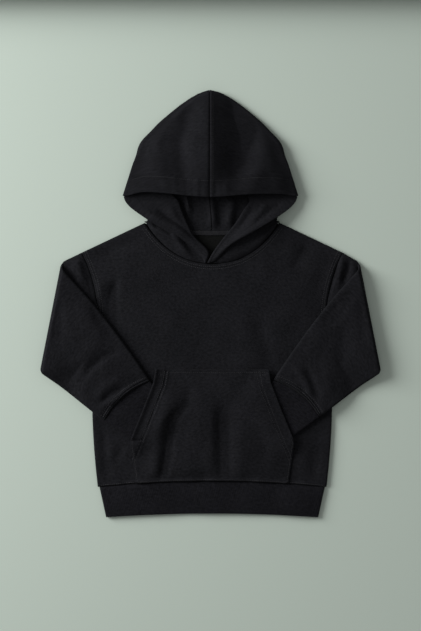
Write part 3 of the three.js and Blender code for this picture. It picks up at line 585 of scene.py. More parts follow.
def walk(path, pitch):
    """Places every pitch millimetres along a path, and the way it runs there."""
    path = np.asarray(path, float)
    steps = np.hypot(*np.diff(path, axis=0).T)
    run = np.concatenate([[0], np.cumsum(steps)])
    count = max(int(run[-1] / pitch), 1)
    at = (np.arange(count) + 0.5) * run[-1] / count
    x, y = np.interp(at, run, path[:, 0]), np.interp(at, run, path[:, 1])
    ahead = np.minimum(at + 0.5, run[-1])
    back = np.maximum(at - 0.5, 0)
    dx = np.interp(ahead, run, path[:, 0]) - np.interp(back, run, path[:, 0])
    dy = np.interp(ahead, run, path[:, 1]) - np.interp(back, run, path[:, 1])
    return np.stack([x, y], -1), np.stack([dx, dy], -1) / np.hypot(dx, dy)[:, None]


def sew(name, cloth, paths, material):
    """Rows of stitches along paths seen from above, lying on the topmost cloth of a piece."""
    tree = BVHTree.FromPolygons(
        [v.co.copy() for v in cloth.data.vertices],
        [tuple(p.vertices) for p in cloth.data.polygons],
    )
    points, faces = [], []
    for path in paths:
        places, ways = walk(path, STITCH_PITCH)
        for (x, y), (dx, dy) in zip(places, ways):
            start = Vector((x * MM, (y - ORIGIN_Y) * MM, ABOVE_ALL * MM))
            hit, normal, _, _ = tree.ray_cast(start, Vector((0, 0, -1)))
            if hit is None or normal.z < 0.25:
                continue
            ahead = Vector((dx, dy, 0))
            ahead = (ahead - normal * ahead.dot(normal)).normalized()
            across = normal.cross(ahead)
            basis = np.array([ahead, across, normal])
            placed = (STITCH - np.array([0, 0, STITCH_SINK])) @ basis * MM + np.array(hit)
            faces += [tuple(k + len(points) for k in f) for f in STITCH_FACES]
            points.extend(placed.tolist())
    mesh = bpy.data.meshes.new(name)
    mesh.from_pydata(points, [], faces)
    piece = bpy.data.objects.new(name, mesh)
    bpy.context.collection.objects.link(piece)
    mesh.materials.append(material)
    mesh.polygons.foreach_set("use_smooth", [True] * len(mesh.polygons))
    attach(piece, "root")
    return piece


# Finishes


def new_group(name, inputs, outputs):
    group = bpy.data.node_groups.new(name, "ShaderNodeTree")
    for label, kind, value in inputs:
        socket = group.interface.new_socket(label, in_out="INPUT", socket_type=kind)
        if value is not None:
            socket.default_value = value
    for label, kind in outputs:
        group.interface.new_socket(label, in_out="OUTPUT", socket_type=kind)
    start = group.nodes.new("NodeGroupInput")
    end = group.nodes.new("NodeGroupOutput")
    return group, start, end


def calc(tree, operation, a, b=None, c=None, clamp=False):
    """A sum on numbers or sockets."""
    node = tree.nodes.new("ShaderNodeMath")
    node.operation = operation
    node.use_clamp = clamp
    for socket, value in zip(node.inputs, (a, b, c)):
        if value is None:
            continue
        if isinstance(value, (int, float)):
            socket.default_value = value
        else:
            tree.links.new(value, socket)
    return node.outputs[0]


def knit_group():
    """Fine knitted columns and courses over the cloth, as a height and as light and dark yarn."""
    group, start, end = new_group(
        "knit",
        [
            ("Place", "NodeSocketVector", None),
            ("Columns", "NodeSocketFloat", 900.0),
            ("Courses", "NodeSocketFloat", 1200.0),
        ],
        [
            ("Height", "NodeSocketFloat"),
            ("Shade", "NodeSocketFloat"),
            ("Streaks", "NodeSocketFloat"),
        ],
    )
    stretch = group.nodes.new("ShaderNodeVectorMath")
    stretch.operation = "MULTIPLY"
    stretch.inputs[1].default_value = (0.55, 0.8, 1.0)
    group.links.new(start.outputs["Place"], stretch.inputs[0])
    slub = group.nodes.new("ShaderNodeTexNoise")
    slub.inputs["Scale"].default_value = 430
    slub.inputs["Detail"].default_value = 2
    slub.inputs["Roughness"].default_value = 0.55
    group.links.new(stretch.outputs[0], slub.inputs["Vector"])
    group.links.new(slub.outputs["Fac"], end.inputs["Streaks"])
    split = group.nodes.new("ShaderNodeSeparateXYZ")
    group.links.new(start.outputs["Place"], split.inputs[0])
    u, v = split.outputs[0], split.outputs[1]
    column = calc(group, "MULTIPLY", u, start.outputs["Columns"])
    turned = calc(group, "MULTIPLY", column, 2 * math.pi)
    rib = calc(group, "ABSOLUTE", calc(group, "COSINE", calc(group, "MULTIPLY", turned, 0.5)))
    lean = calc(group, "MULTIPLY", rib, 0.8)
    course = calc(group, "MULTIPLY", v, start.outputs["Courses"])
    course = calc(group, "ADD", course, lean)
    loop = calc(group, "SINE", calc(group, "MULTIPLY", course, 2 * math.pi))
    height = calc(group, "ADD", rib, calc(group, "MULTIPLY", loop, 0.35))
    shade = calc(group, "MULTIPLY_ADD", height, 0.5, 0.25, clamp=True)
    group.links.new(height, end.inputs["Height"])
    group.links.new(shade, end.inputs["Shade"])
    return group


def nap_group():
    """Brushed nap and slight wear: soft patches, fine fibres and specks."""
    group, start, end = new_group(
        "nap",
        [("Place", "NodeSocketVector", None)],
        [("Patches", "NodeSocketFloat"), ("Fibres", "NodeSocketFloat")],
    )
    for label, scale, detail, roughness in (("Patches", 34, 4, 0.6), ("Fibres", 620, 3, 0.7)):
        noise = group.nodes.new("ShaderNodeTexNoise")
        noise.inputs["Scale"].default_value = scale
        noise.inputs["Detail"].default_value = detail
        noise.inputs["Roughness"].default_value = roughness
        group.links.new(start.outputs["Place"], noise.inputs["Vector"])
        group.links.new(noise.outputs["Fac"], end.inputs[label])
    return group


def seam_pucker_and_painted_shade_group():
    """Cloth drawn in along lines of stitches and at seams, read from how far away they are, and painted shade
    that darkens its colour in these grooves.
    """
    group, start, end = new_group("sewn", [], [("Height", "NodeSocketFloat"), ("Shade", "NodeSocketFloat")])
    group.nodes.remove(start)
    height, shade = None, None
    for name, width, depth in (("stitch", 0.75, 0.3), ("seam", 0.8, 1.0)):
        read = group.nodes.new("ShaderNodeAttribute")
        read.attribute_name = name
        ratio = calc(group, "DIVIDE", read.outputs["Fac"], width)
        dip = calc(group, "EXPONENT", calc(group, "MULTIPLY", calc(group, "MULTIPLY", ratio, ratio), -1))
        dip = calc(group, "MULTIPLY", dip, depth)
        height = dip if height is None else calc(group, "MAXIMUM", height, dip)
    group.links.new(calc(group, "MULTIPLY", height, -1), end.inputs["Height"])
    # Shade: painted shade, the colour darkened along seams and lines of stitches
    group.links.new(calc(group, "SUBTRACT", 1, calc(group, "MULTIPLY", height, 0.55)), end.inputs["Shade"])
    return group


KNIT, NAP, SEAM_PUCKER_AND_SHADE = knit_group(), nap_group(), seam_pucker_and_painted_shade_group()


def cloth_material(name, dark, light, columns, courses, relief_mm, roughness, sheen):
    material = bpy.data.materials.new(name)
    material.use_nodes = True
    tree = material.node_tree
    shader = tree.nodes["Principled BSDF"]
    coords = tree.nodes.new("ShaderNodeTexCoord")

    def place(group):
        node = tree.nodes.new("ShaderNodeGroup")
        node.node_tree = group
        return node

    knit, nap, sewn = place(KNIT), place(NAP), place(SEAM_PUCKER_AND_SHADE)
    knit.inputs["Columns"].default_value = columns
    knit.inputs["Courses"].default_value = courses
    tree.links.new(coords.outputs["UV"], knit.inputs["Place"])
    tree.links.new(coords.outputs["Object"], nap.inputs["Place"])
    share = calc(tree, "MULTIPLY_ADD", nap.outputs["Patches"], 0.8, 0.1)
    share = calc(tree, "ADD", share, calc(tree, "MULTIPLY_ADD", nap.outputs["Fibres"], 0.3, -0.15))
    share = calc(tree, "ADD", share, calc(tree, "MULTIPLY_ADD", knit.outputs["Streaks"], 1.6, -0.8))
    share = calc(tree, "ADD", share, calc(tree, "MULTIPLY_ADD", knit.outputs["Shade"], 0.3, -0.15))
    share = calc(tree, "ADD", share, 0.0, clamp=True)
    mix = tree.nodes.new("ShaderNodeMix")
    mix.data_type = "RGBA"
    tree.links.new(share, mix.inputs["Factor"])
    mix.inputs["A"].default_value = (*dark, 1)
    mix.inputs["B"].default_value = (*light, 1)
    shaded = tree.nodes.new("ShaderNodeMix")
    shaded.data_type = "RGBA"
    shaded.blend_type = "MULTIPLY"
    shaded.inputs["Factor"].default_value = 1
    tree.links.new(mix.outputs["Result"], shaded.inputs["A"])
    # painted shade along seams and stitches darkens the colour
    tree.links.new(sewn.outputs["Shade"], shaded.inputs["B"])
    tree.links.new(shaded.outputs["Result"], shader.inputs["Base Color"])
    rough = calc(tree, "MULTIPLY_ADD", nap.outputs["Patches"], 0.12, roughness - 0.06)
    tree.links.new(rough, shader.inputs["Roughness"])
    shader.inputs["Specular IOR Level"].default_value = 0.05
    shader.inputs["Sheen Weight"].default_value = sheen
    shader.inputs["Sheen Roughness"].default_value = 0.45
    fine = calc(tree, "MULTIPLY", knit.outputs["Height"], relief_mm)
    fine = calc(tree, "ADD", fine, calc(tree, "MULTIPLY", nap.outputs["Fibres"], 0.4))
    fine = calc(tree, "ADD", fine, calc(tree, "MULTIPLY", knit.outputs["Streaks"], 0.45))
    fine = calc(tree, "ADD", fine, calc(tree, "MULTIPLY", nap.outputs["Patches"], 0.8))
    fine = calc(tree, "ADD", fine, calc(tree, "MULTIPLY", sewn.outputs["Height"], 0.9))
    bump = tree.nodes.new("ShaderNodeBump")
    bump.inputs["Strength"].default_value = 0.7
    bump.inputs["Distance"].default_value = MM
    tree.links.new(fine, bump.inputs["Height"])
    tree.links.new(bump.outputs["Normal"], shader.inputs["Normal"])
    return material


def thread_material(name, dark, light):
    material = bpy.data.materials.new(name)
    material.use_nodes = True
    tree = material.node_tree
    shader = tree.nodes["Principled BSDF"]
    coords = tree.nodes.new("ShaderNodeTexCoord")
    noise = tree.nodes.new("ShaderNodeTexNoise")
    noise.inputs["Scale"].default_value = 900
    tree.links.new(coords.outputs["Object"], noise.inputs["Vector"])
    mix = tree.nodes.new("ShaderNodeMix")
    mix.data_type = "RGBA"
    mix.inputs["A"].default_value = (*dark, 1)
    mix.inputs["B"].default_value = (*light, 1)
    tree.links.new(noise.outputs["Fac"], mix.inputs["Factor"])
    tree.links.new(mix.outputs["Result"], shader.inputs["Base Color"])
    shader.inputs["Roughness"].default_value = 0.55
    shader.inputs["Specular IOR Level"].default_value = 0.3
    return material


fleece = cloth_material(
    "fleece", (0.0038, 0.0039, 0.0047), (0.0124, 0.0125, 0.0147), 950, 1250, 0.10, 0.9, 0.012
)
# The back panel, seen only through the neck opening, gets a darker colour: painted shade for the shadow that
# falls inside the neck.
fleece_inside_painted_shade = cloth_material(
    "fleece_inside_painted_shade", (0.0026, 0.0028, 0.0026), (0.0058, 0.006, 0.0056), 700, 900, 0.14, 0.95, 0.07
)
rib_knit = cloth_material(
    "rib", (0.0029, 0.0029, 0.0038), (0.0116, 0.0115, 0.0140), 430, 1100, 0.24, 0.88, 0.012
)
twill = cloth_material(
    "tape", (0.009, 0.009, 0.0105), (0.017, 0.017, 0.0185), 1400, 1400, 0.08, 0.8, 0.03
)
thread = thread_material("thread", (0.013, 0.013, 0.015), (0.031, 0.031, 0.035))
dark_thread = thread_material("dark_thread", (0.008, 0.008, 0.0095), (0.016, 0.016, 0.0185))


# Body panels


def sides(*steps):
    """Shares across the body, with fine steps beside both edges."""
    width = 2 * SHOULDER_TIP[0]
    fine = np.array([0, 0.47, 1.0, 1.6, 2.6]) / width
    left = np.concatenate([fine, *steps])
    return np.concatenate([left, (1 - left[:-1])[::-1]])


def panel_rows(neck, cell, z_at, to_join):
    shoulder = np.arange(2.6 + cell, SHOULDER_SHARE * 350, cell) / 350
    opening = np.linspace(SHOULDER_SHARE, 0.5, int(0.26 * 350 / cell))
    us = sides(shoulder, opening)
    low = np.linspace(0, UNDERARM_SHARE, int(183 / cell))
    low = np.concatenate([[0, 0.003, 0.006], low[1:]])
    high = np.linspace(UNDERARM_SHARE, 1 - 2.6 / 330, int(131 / cell))[1:]
    vs = np.concatenate([low, high, 1 - np.array([1.6, 1.0, 0.47, 0]) / 330])
    places = patch(us, vs, panel_hem(us), panel_top(us, neck), panel_side(vs))
    x, y = places[..., 0], places[..., 1]
    z = z_at(x, y) + to_join * edge_turn(join_distance(x, y))
    return np.stack([x + BODY_SHIFT, y, z], -1)


def neck_distance(x, y):
    path = neck_line(FRONT_NECK, np.linspace(0, 1, 41)) - np.array([BODY_SHIFT, 0])
    return near_path(path, x, y)[0]


def armhole_distance(x, y):
    return near_path(ARMHOLE_LINE, np.abs(x), y)[0]


def seam_dip(distance, depth=0.8, reach=1.3):
    return -depth * np.exp(-((distance / reach) ** 2))


def front_panel():
    def z_at(x, y):
        hem = y - panel_hem((x / HEM_CORNER[0] + 1) / 2)[..., 1]
        dips = seam_dip(neck_distance(x, y), 0.3, 1.0) + seam_dip(armhole_distance(x, y), 0.5)
        dips = dips + seam_dip(hem, 1.0)
        swell = 0.5 * np.exp(-(((neck_distance(x, y) - 3.2) / 2) ** 2))
        return front_z(x, y) + dips + swell

    rows = panel_rows(FRONT_NECK, 2.4, z_at, -1)
    x, y = rows[..., 0] - BODY_SHIFT, rows[..., 1]
    neck, hole = neck_distance(x, y), armhole_distance(x, y)
    hem = y - panel_hem((x / HEM_CORNER[0] + 1) / 2)[..., 1]
    stitch = np.minimum.reduce([abs(neck - 3.4), abs(neck - 6.6), abs(hole - 3.4), abs(hole - 6.6)])
    marks = {"stitch": stitch, "seam": np.minimum.reduce([neck, hole, hem])}
    return grid_piece("front_panel_cloth", rows, "fleece", marks=marks)


def back_panel():
    rows = panel_rows(BACK_NECK, 6, lambda x, y: np.full(np.shape(x), LOWER_Z), 1)
    return grid_piece("back_panel_cloth", rows, "fleece")


# Pocket


def outline_distance(corners, x, y):
    """How far places are from a four-cornered outline, 0 inside it."""
    a, b, d, c = (np.array(p, float) for p in corners)
    loop = [a, b, c, d, a]
    inside = np.ones(np.shape(x), bool)
    turn = np.sign((b[0] - a[0]) * (c[1] - a[1]) - (b[1] - a[1]) * (c[0] - a[0]))
    for p, q in zip(loop[:-1], loop[1:]):
        cross = (q[0] - p[0]) * (y - p[1]) - (q[1] - p[1]) * (x - p[0])
        inside &= np.sign(cross) == turn
    return np.where(inside, 0, near_path(loop, x, y)[0])


def pocket_side(v):
    lengths = np.hypot(*np.diff(np.array(POCKET_SIDE, float), axis=0).T)
    run = np.concatenate([[0], np.cumsum(lengths)])
    at = (1 - np.asarray(v, float)) * run[-1]
    return np.stack([np.interp(at, run, [p[k] for p in POCKET_SIDE]) for k in (0, 1)], -1)


OPENING = POCKET_SIDE[:3] + [(118.4, -205)]  # its stitching runs on past the opening
STRIP_END = [(-108.5, -183.6), (-93, -182)]


def opening_distance(x, y):
    return near_path(OPENING, np.abs(x), y)[0]


def pocket():
    half = POCKET_SIDE[-1][0]
    us = np.concatenate([[0, 0.002, 0.005], np.linspace(0.01, 0.99, 100), [0.995, 0.998, 1]])
    vs = np.concatenate([[0, 0.003, 0.007], np.linspace(0.014, 0.986, 72), [0.993, 0.997, 1]])
    bottom = panel_hem((lerp(-half, half, us) / HEM_CORNER[0] + 1) / 2)
    top = np.stack([lerp(-POCKET_SIDE[0][0], POCKET_SIDE[0][0], us), np.full(us.shape, POCKET_TOP_Y)], -1)
    places = patch(us, vs, bottom, top, pocket_side(vs))
    x, y = places[..., 0], places[..., 1]
    near = np.minimum.reduce([outline_distance(CUFFS[k], x + BODY_SHIFT, y) for k in CUFFS])
    base = front_z(x, y)
    lying, lifted = base + FLEECE + GAP, base + FLEECE + RIB + 2 * GAP + 2 * CUFF_RADIUS
    share = 1 - smooth((near - 3) / POCKET_RAMP)
    u, v = us[None, :], vs[:, None]
    inside = smooth(6 * np.minimum(u, 1 - u)) * smooth(4 * (1 - v)) * smooth(9 * v)
    folds = inside * (POCKET_LOFT + relief(POCKET_FOLDS, x + BODY_SHIFT, y))
    hole = opening_distance(x, y)
    strip = smooth((y + 183.5) / 2.0) * lerp(1, 0.25, smooth(x / 40 + 0.5))
    hem = strip * 1.7 * np.exp(-((hole / 4.6) ** 2))
    hem += strip * 0.9 * np.exp(-(((hole - 1.2) / 1.0) ** 2))
    rows_end = smooth((y + 206) / 4) * lerp(1, 0.4, smooth(x / 40 + 0.5))
    hem += rows_end * 0.9 * (np.exp(-(((hole - 12.2) / 1.1) ** 2)) + np.exp(-(((hole - 16.2) / 1.2) ** 2)))
    hem -= rows_end * 0.7 * np.exp(-(((hole - 14.2) / 0.8) ** 2))
    hem += rows_end * 0.6 * smooth((POCKET_HEM - hole) / 1.6)
    border = near_path(POCKET_SIDE[3:], np.abs(x), y)[0]
    above = y - panel_hem((x / HEM_CORNER[0] + 1) / 2)[..., 1]
    cut = near_path(STRIP_END, x + BODY_SHIFT, y)[0]
    dips = seam_dip(border, 0.5, 1.2) + seam_dip(above, 1.0) + seam_dip(cut, 1.3, 1.3)
    z = lerp(lying, lifted, share) + np.maximum(0, folds) + hem + dips + hem_pucker(x, y) * 0.6
    stitch = np.minimum.reduce(
        [abs(hole - 12.2), abs(hole - 16.2), abs(border - 2.2), abs(POCKET_TOP_Y - y - 4.2)]
    )
    rows = np.stack([x + BODY_SHIFT, y, z], -1)
    return grid_piece("pocket_cloth", rows, "fleece", marks={"stitch": stitch, "seam": above})


# Tubes


def ring_course(length, radius, across):
    """Places along a flattened ring and which layer each is on, from one edge round to itself."""
    flat = np.linspace(radius, length - radius, across)
    turn = np.radians([67.5, 45, 22.5, 0, -22.5, -45, -67.5])
    far, near = length - radius + radius * np.cos(turn), radius - radius * np.cos(turn)
    s = np.concatenate([flat, far, flat[::-1], near])
    h = np.concatenate([np.ones(across), np.sin(turn), -np.ones(across), -np.sin(turn)])
    return s, h


def ring(a, b, bow, radius, across):
    length = math.hypot(b[0] - a[0], b[1] - a[1])
    s, h = ring_course(length, radius, across)
    return bowed(a, b, bow, s / length), h, s / length


def between(lower, upper, h):
    return (lower + upper) / 2 - h * (upper - lower) / 2


def hem_band():
    low = RIB / 2
    rows, seams = [], []
    for t in np.concatenate([[0, 0.01, 0.025], np.linspace(0.05, 1, 20)]):
        half, corner, middle = (lerp(p, q, t) for p, q in zip(BAND_TOP, BAND_BOTTOM))
        place, h, share = ring((-half, corner), (half, corner), corner - middle, EDGE_RADIUS, 120)
        x, y = place[:, 0], place[:, 1]
        on_top = smooth((h + 1) / 2)
        swell = 1.0 * math.sin(math.pi * min(max(t, 0), 1)) ** 0.7 * smooth(np.minimum(share, 1 - share) * 14)
        soft = 0.35 * (np.sin(x / 17 + 0.6) + 0.7 * np.sin(x / 9.1 + 2) + 0.5 * waviness(x, y))
        z = low + (1 + h) * EDGE_RADIUS + on_top * (swell + soft * smooth(np.minimum(share, 1 - share) * 14))
        z = z - on_top * 1.3 * math.exp(-((t / 0.045) ** 2))
        rows.append(np.stack([x + BODY_SHIFT, y, z], -1))
        seams.append(np.full(x.shape, t * 44.0))
    return grid_piece("hem_band_cloth", np.array(rows), "rib", closed=True, marks={"seam": np.array(seams)})


def mirrored(point, side):
    return (side * point[0], point[1])


def sleeve_rest(x, y):
    out = np.abs(x)
    dx, dy = ROOT_LOWER[0] - UNDERARM[0], ROOT_LOWER[1] - UNDERARM[1]
    below = (dy * (out - UNDERARM[0]) - dx * (y - UNDERARM[1])) / math.hypot(dx, dy)
    sag = SAG * smooth((np.minimum(out - SIDE_MIDDLE[0], below) - 3) / SAG_RUN)
    return front_z(x - BODY_SHIFT, y) + FLEECE + GAP - sag


def sleeve(name):
    side = -1 if name == "left" else 1
    seam_upper, seam_lower, _, _ = CUFFS[name]
    across = 54
    hole = ((side * SHOULDER_TIP[0] + BODY_SHIFT + 0.3 * side, SHOULDER_TIP[1]),
            (side * (UNDERARM[0] + UNDERARM_GAP) + BODY_SHIFT, UNDERARM[1]))
    root = (mirrored(ROOT_UPPER, side), mirrored(ROOT_LOWER, side))
    turned = (mirrored(TURNED_UPPER, side), mirrored(TURNED_LOWER, side))
    middle = LOWER_Z + EDGE_RADIUS
    rows, stitches, seams = [], [], []

    def ends(p, q, t):
        return [tuple(blend2(p[k], q[k], t)) for k in (0, 1)]

    root_steps = np.concatenate([[0, 0.012, 0.03, 0.06], np.linspace(0.1, 1, 15)])
    for t in root_steps:
        a, b = ends(hole, root, t)
        place, h, share = ring(a, b, side * ARMHOLE_BOW * (1 - t) ** 1.5, EDGE_RADIUS, across)
        x, y = place[:, 0], place[:, 1]
        top = smooth((h + 1) / 2) * smooth(np.minimum(share, 1 - share) * 12)
        rise = relief(ROOT_FOLDS[name], x, y) * (1 - t**4) + 0.4 * waviness(x, y)
        rise = np.maximum(rise + 2.8 * math.sin(math.pi * t) ** 0.6, -1.2)
        hole_side = armhole_distance(x - BODY_SHIFT, y)
        z = middle + h * EDGE_RADIUS + top * (rise + seam_dip(hole_side, 0.8 if side > 0 else 0.3))
        rows.append(np.stack([x, y, z], -1))
        stitches.append(np.full(x.shape, 99.0))
        seams.append(np.where(h > 0, hole_side, 99.0))
    run = math.hypot(root[0][0] - root[1][0], root[0][1] - root[1][1])
    out = np.array([side * (root[0][1] - root[1][1]), side * (root[1][0] - root[0][0])]) / run
    shift = (1 - FOLD_FLATNESS) * (FOLD_RADIUS + EDGE_RADIUS)
    for row, t in zip(rows, root_steps):
        row[:, :2] += out * shift * smooth(t)
    for degrees in np.arange(12, 180, 12):
        angle = math.radians(degrees)
        a, b = ends(root, turned, degrees / 180)
        place, h, share = ring(a, b, 0, EDGE_RADIUS, across)
        reach = (FOLD_RADIUS - h * EDGE_RADIUS) * math.sin(angle) * FOLD_FLATNESS + shift
        thicker = SLEEVE_AIR * (1 - h) / 2 * smooth((degrees - 60) / 120)
        z = middle + FOLD_RADIUS - math.cos(angle) * (FOLD_RADIUS - h * EDGE_RADIUS)
        z = z + SLEEVE_AIR * smooth((degrees - 60) / 120) - thicker
        rows.append(np.stack([place[:, 0] + out[0] * reach, place[:, 1] + out[1] * reach, z], -1))
        stitches.append(np.full(h.shape, 99.0))
        seams.append(np.full(h.shape, 99.0))
    lift0 = middle + 2 * FOLD_RADIUS - EDGE_RADIUS - (UPPER_Z + FLEECE + GAP)
    length = math.hypot(seam_upper[0] - turned[0][0], seam_upper[1] - turned[0][1])
    near_seam = 1 - np.array([8, 7, 6.2, 5.4, 4.6, 3.9, 3.3, 2.7, 2.1, 1.5, 1.0, 0.5, 0]) / length
    for t in np.concatenate([np.linspace(0, 1 - 10 / length, 72), near_seam]):
        upper = tuple(bowed(turned[0], seam_upper, side * SLEEVE_BOW, np.array(t)))
        lower = tuple(blend2(turned[1], seam_lower, t))
        bow = -side * CUFF_SEAM_BOW * smooth(t * 1.2 - 0.2)
        place, h, share = ring(upper, lower, bow, EDGE_RADIUS, across)
        place = place + out * shift * (1 - smooth(t / 0.3))
        x, y = place[:, 0], place[:, 1]
        under = sleeve_rest(x, y) + lift0 * (1 - smooth(t / 0.45))
        inner = smooth(np.minimum(share, 1 - share) * 7)
        folds = inner * (relief(SLEEVE_FOLDS[name], x, y) + 0.9 * waviness(x + 31, y - 17))
        to_seam = (1 - t) * length
        sewn = 1.2 * math.exp(-(((to_seam - 1.4) / 0.9) ** 2))
        sewn += 1.1 * math.exp(-(((to_seam - 5.2) / 1.4) ** 2))
        sewn -= 0.6 * math.exp(-(((to_seam - 3.2) / 0.7) ** 2))
        puff = SLEEVE_PUFF * np.sin(math.pi * share) + sewn * smooth(inner * 3)
        dip = 1.3 * math.exp(-((to_seam / 0.5) ** 2))
        air = SLEEVE_AIR * (1 - smooth((t - 0.9) / 0.1))
        z = between(under, under + 2 * EDGE_RADIUS + air + np.maximum(puff + folds, -0.7), h)
        z = z - np.where(h < 0, -h, 0) * dip * inner
        rows.append(np.stack([x, y, z], -1))
        stitches.append(np.where(h < 0.5, min(abs(to_seam - 2.9), abs(to_seam - 6.6)), 99.0))
        seams.append(np.full(h.shape, to_seam))
    marks = {"stitch": np.array(stitches), "seam": np.array(seams)}
    return grid_piece(f"sleeve_{name}_cloth", np.array(rows), "fleece", closed=True, marks=marks)


def cuff(name):
    side = -1 if name == "left" else 1
    seam_upper, seam_lower, end_upper, end_lower = CUFFS[name]
    length = math.hypot(seam_upper[0] - end_upper[0], seam_upper[1] - end_upper[1])
    rows, seams = [], []
    for t in np.concatenate([[0.6 / length, 0.03, 0.05], np.linspace(0.08, 1, 20)]):
        bow = -side * lerp(CUFF_SEAM_BOW, CUFF_END_BOW, t)
        on_top = tuple(blend2(seam_upper, end_upper, t))
        beneath = tuple(blend2(seam_lower, end_lower, t))
        place, h, share = ring(on_top, beneath, bow, CUFF_RADIUS, 44)
        x, y = place[:, 0], place[:, 1]
        lower = front_z(x - BODY_SHIFT, y) + (FLEECE + RIB) / 2 + GAP
        inner = smooth(np.minimum(share, 1 - share) * 8)
        free = math.sin(math.pi * min(t * 1.6, 1)) * 0.9
        z = between(lower, lower + 2 * CUFF_RADIUS, h)
        z = z + np.where(h < 0, -h, 0) * inner * (free * 0.6 - 0.6 * math.exp(-((t * length / 1.5) ** 2)))
        rows.append(np.stack([x, y, z], -1))
        seams.append(np.full(h.shape, t * length))
    marks = {"seam": np.array(seams)}
    return grid_piece(f"cuff_{name}_cloth", np.array(rows), "rib", closed=True, marks=marks)


# Hood


def half_turn(tip, out, low, high, count, early=0):
    """Half a turn of cloth from height low to high, its outermost place at tip. The first early
    of its places are on the lower quarter."""
    radius = (high - low) / 2
    if early:
        lower = math.pi / 2 * (np.arange(early) + 1) / (early + 1)
        upper = math.pi / 2 * (1 + np.arange(count - early) / (count - early))
        angle = np.concatenate([lower, upper])
    else:
        angle = math.pi * (np.arange(count) + 1) / (count + 1)
    back = (radius * (np.sin(angle) - 1))[:, None]
    place = np.asarray(tip, float) + np.asarray(out, float) * back
    return np.concatenate([place, (low + radius * (1 - np.cos(angle)))[:, None]], axis=1)


def seam_x(y):
    return lerp(BODY_SHIFT, HOOD_SEAM_X, smooth((y - 100) / 50))


def rim_y(s, side=-1):
    """The rim's height on the page at a share s of the way out; a little lower on the right."""
    rise, fall = smooth(s / 0.78), smooth((s - 0.78) / 0.22)
    lower = 2.4 * smooth((s - 0.3) / 0.5) * (1 - fall) if side > 0 else 0
    return RIM_Y - 2.2 * (1 - rise) + 4.6 * rise * (1 - fall) - lower


def outline_top(y):
    return lerp(FOLD_TOP, CROWN_TOP, smooth((y - GUSSET_END_Y) / (CROWN_Y - GUSSET_END_Y - 20)))


def top_layer_z(x, y, s):
    rise = lerp(DOME_RIM, DOME_CROWN, smooth((y - RIM_Y) / (CROWN_Y - RIM_Y)))
    inside = 1 - s**2
    soft = relief(HOOD_TOP_FOLDS, x, y) + 1.1 * waviness(x * 1.2 + 50, y * 1.1)
    return outline_top(y) + rise * inside + soft * smooth(inside * 2.5)


def with_z(place, z):
    return np.concatenate([place, np.broadcast_to(np.asarray(z, float), (len(place),))[:, None]], axis=1)


BACK_COUNT, TURN_COUNT, MIDDLE_COUNT, FLAP_COUNT, TOP_COUNT = 34, 7, 44, 26, 52
FOLD_COUNT = 3 * TURN_COUNT + MIDDLE_COUNT + FLAP_COUNT


def hood_underneath(side, seam, fold, roll, face, lift, fade, upper):
    """Back layer, side fold, middle layer, roll and turned-out flap of one row of a half."""
    start = np.array([seam_x(seam) + 0.15 * side, seam])
    side_end = np.array([fold[0] - side * EDGE_RADIUS, fold[1]])
    roll_end = np.array([roll[0] + side * ROLL_RADIUS, roll[1]])
    meet = 0.5 + (FRONT_MEET_X - BODY_SHIFT) / (2.7 * NECK_SIDE[0])

    def bow(neck, u0, u1, p, q, t):
        line = neck_line(neck, lerp(u0, u1, t), 0.6)
        ends = neck_line(neck, np.array([u0, u1]), 0.6)
        return blend2(p, q, t) + fade * (line - blend2(ends[0], ends[1], t))

    t = np.linspace(0, 1, BACK_COUNT)
    back = bow(BACK_NECK, 0.5, 0.5 + side / 2, start, side_end, t)
    back_z = LOWER_Z + np.maximum(0, relief(BACK_LAYER_FOLDS, back[:, 0], back[:, 1]))
    t = np.linspace(0, 1, MIDDLE_COUNT)
    neck = neck_line(FRONT_NECK, lerp(0.5 + side / 2, meet, t), 0.6)
    middle = bow(FRONT_NECK, 0.5 + side / 2, meet, side_end, roll_end, t)
    z = lerp(UPPER_Z, front_z(neck[:, 0] - BODY_SHIFT, neck[:, 1]), fade)
    crescent = relief(CRESCENT_FOLDS, middle[:, 0], middle[:, 1])
    dip = -0.9 * math.exp(-(((seam - 97.5) / 1.1) ** 2))
    swell = 1.2 * math.exp(-(((seam - 101.5) / 3.0) ** 2))
    ease = smooth(t * 8) * smooth((1 - t) * 8)
    middle_z = z + ease * (np.maximum(crescent, -1.2) + dip + (0 if upper else swell))
    roll_z = middle_z[-1]
    t = np.linspace(0, 1, FLAP_COUNT)
    flap_end = np.array([face[0] - side * (ROLL_RADIUS if upper else 0), face[1]])
    flap = blend2(roll_end, flap_end, t)
    settle = 2 * ROLL_RADIUS if upper else lerp(2 * ROLL_RADIUS, FLEECE + GAP, t)
    folds = 0 if upper else relief(FLAP_FOLDS, flap[:, 0], flap[:, 1]) * smooth(t * 5)
    under = lerp(roll_z, UPPER_Z, t)
    flap_z = under + settle + lift * smooth(t * 1.1) + np.maximum(folds, -2.2) * smooth(lift / 2.5)
    return [
        with_z(back, back_z),
        half_turn(fold, (side, 0), LOWER_Z, UPPER_Z, TURN_COUNT),
        with_z(middle, middle_z),
        half_turn(roll, (-side, 0), roll_z, roll_z + 2 * ROLL_RADIUS, TURN_COUNT),
        with_z(flap, flap_z),
    ]


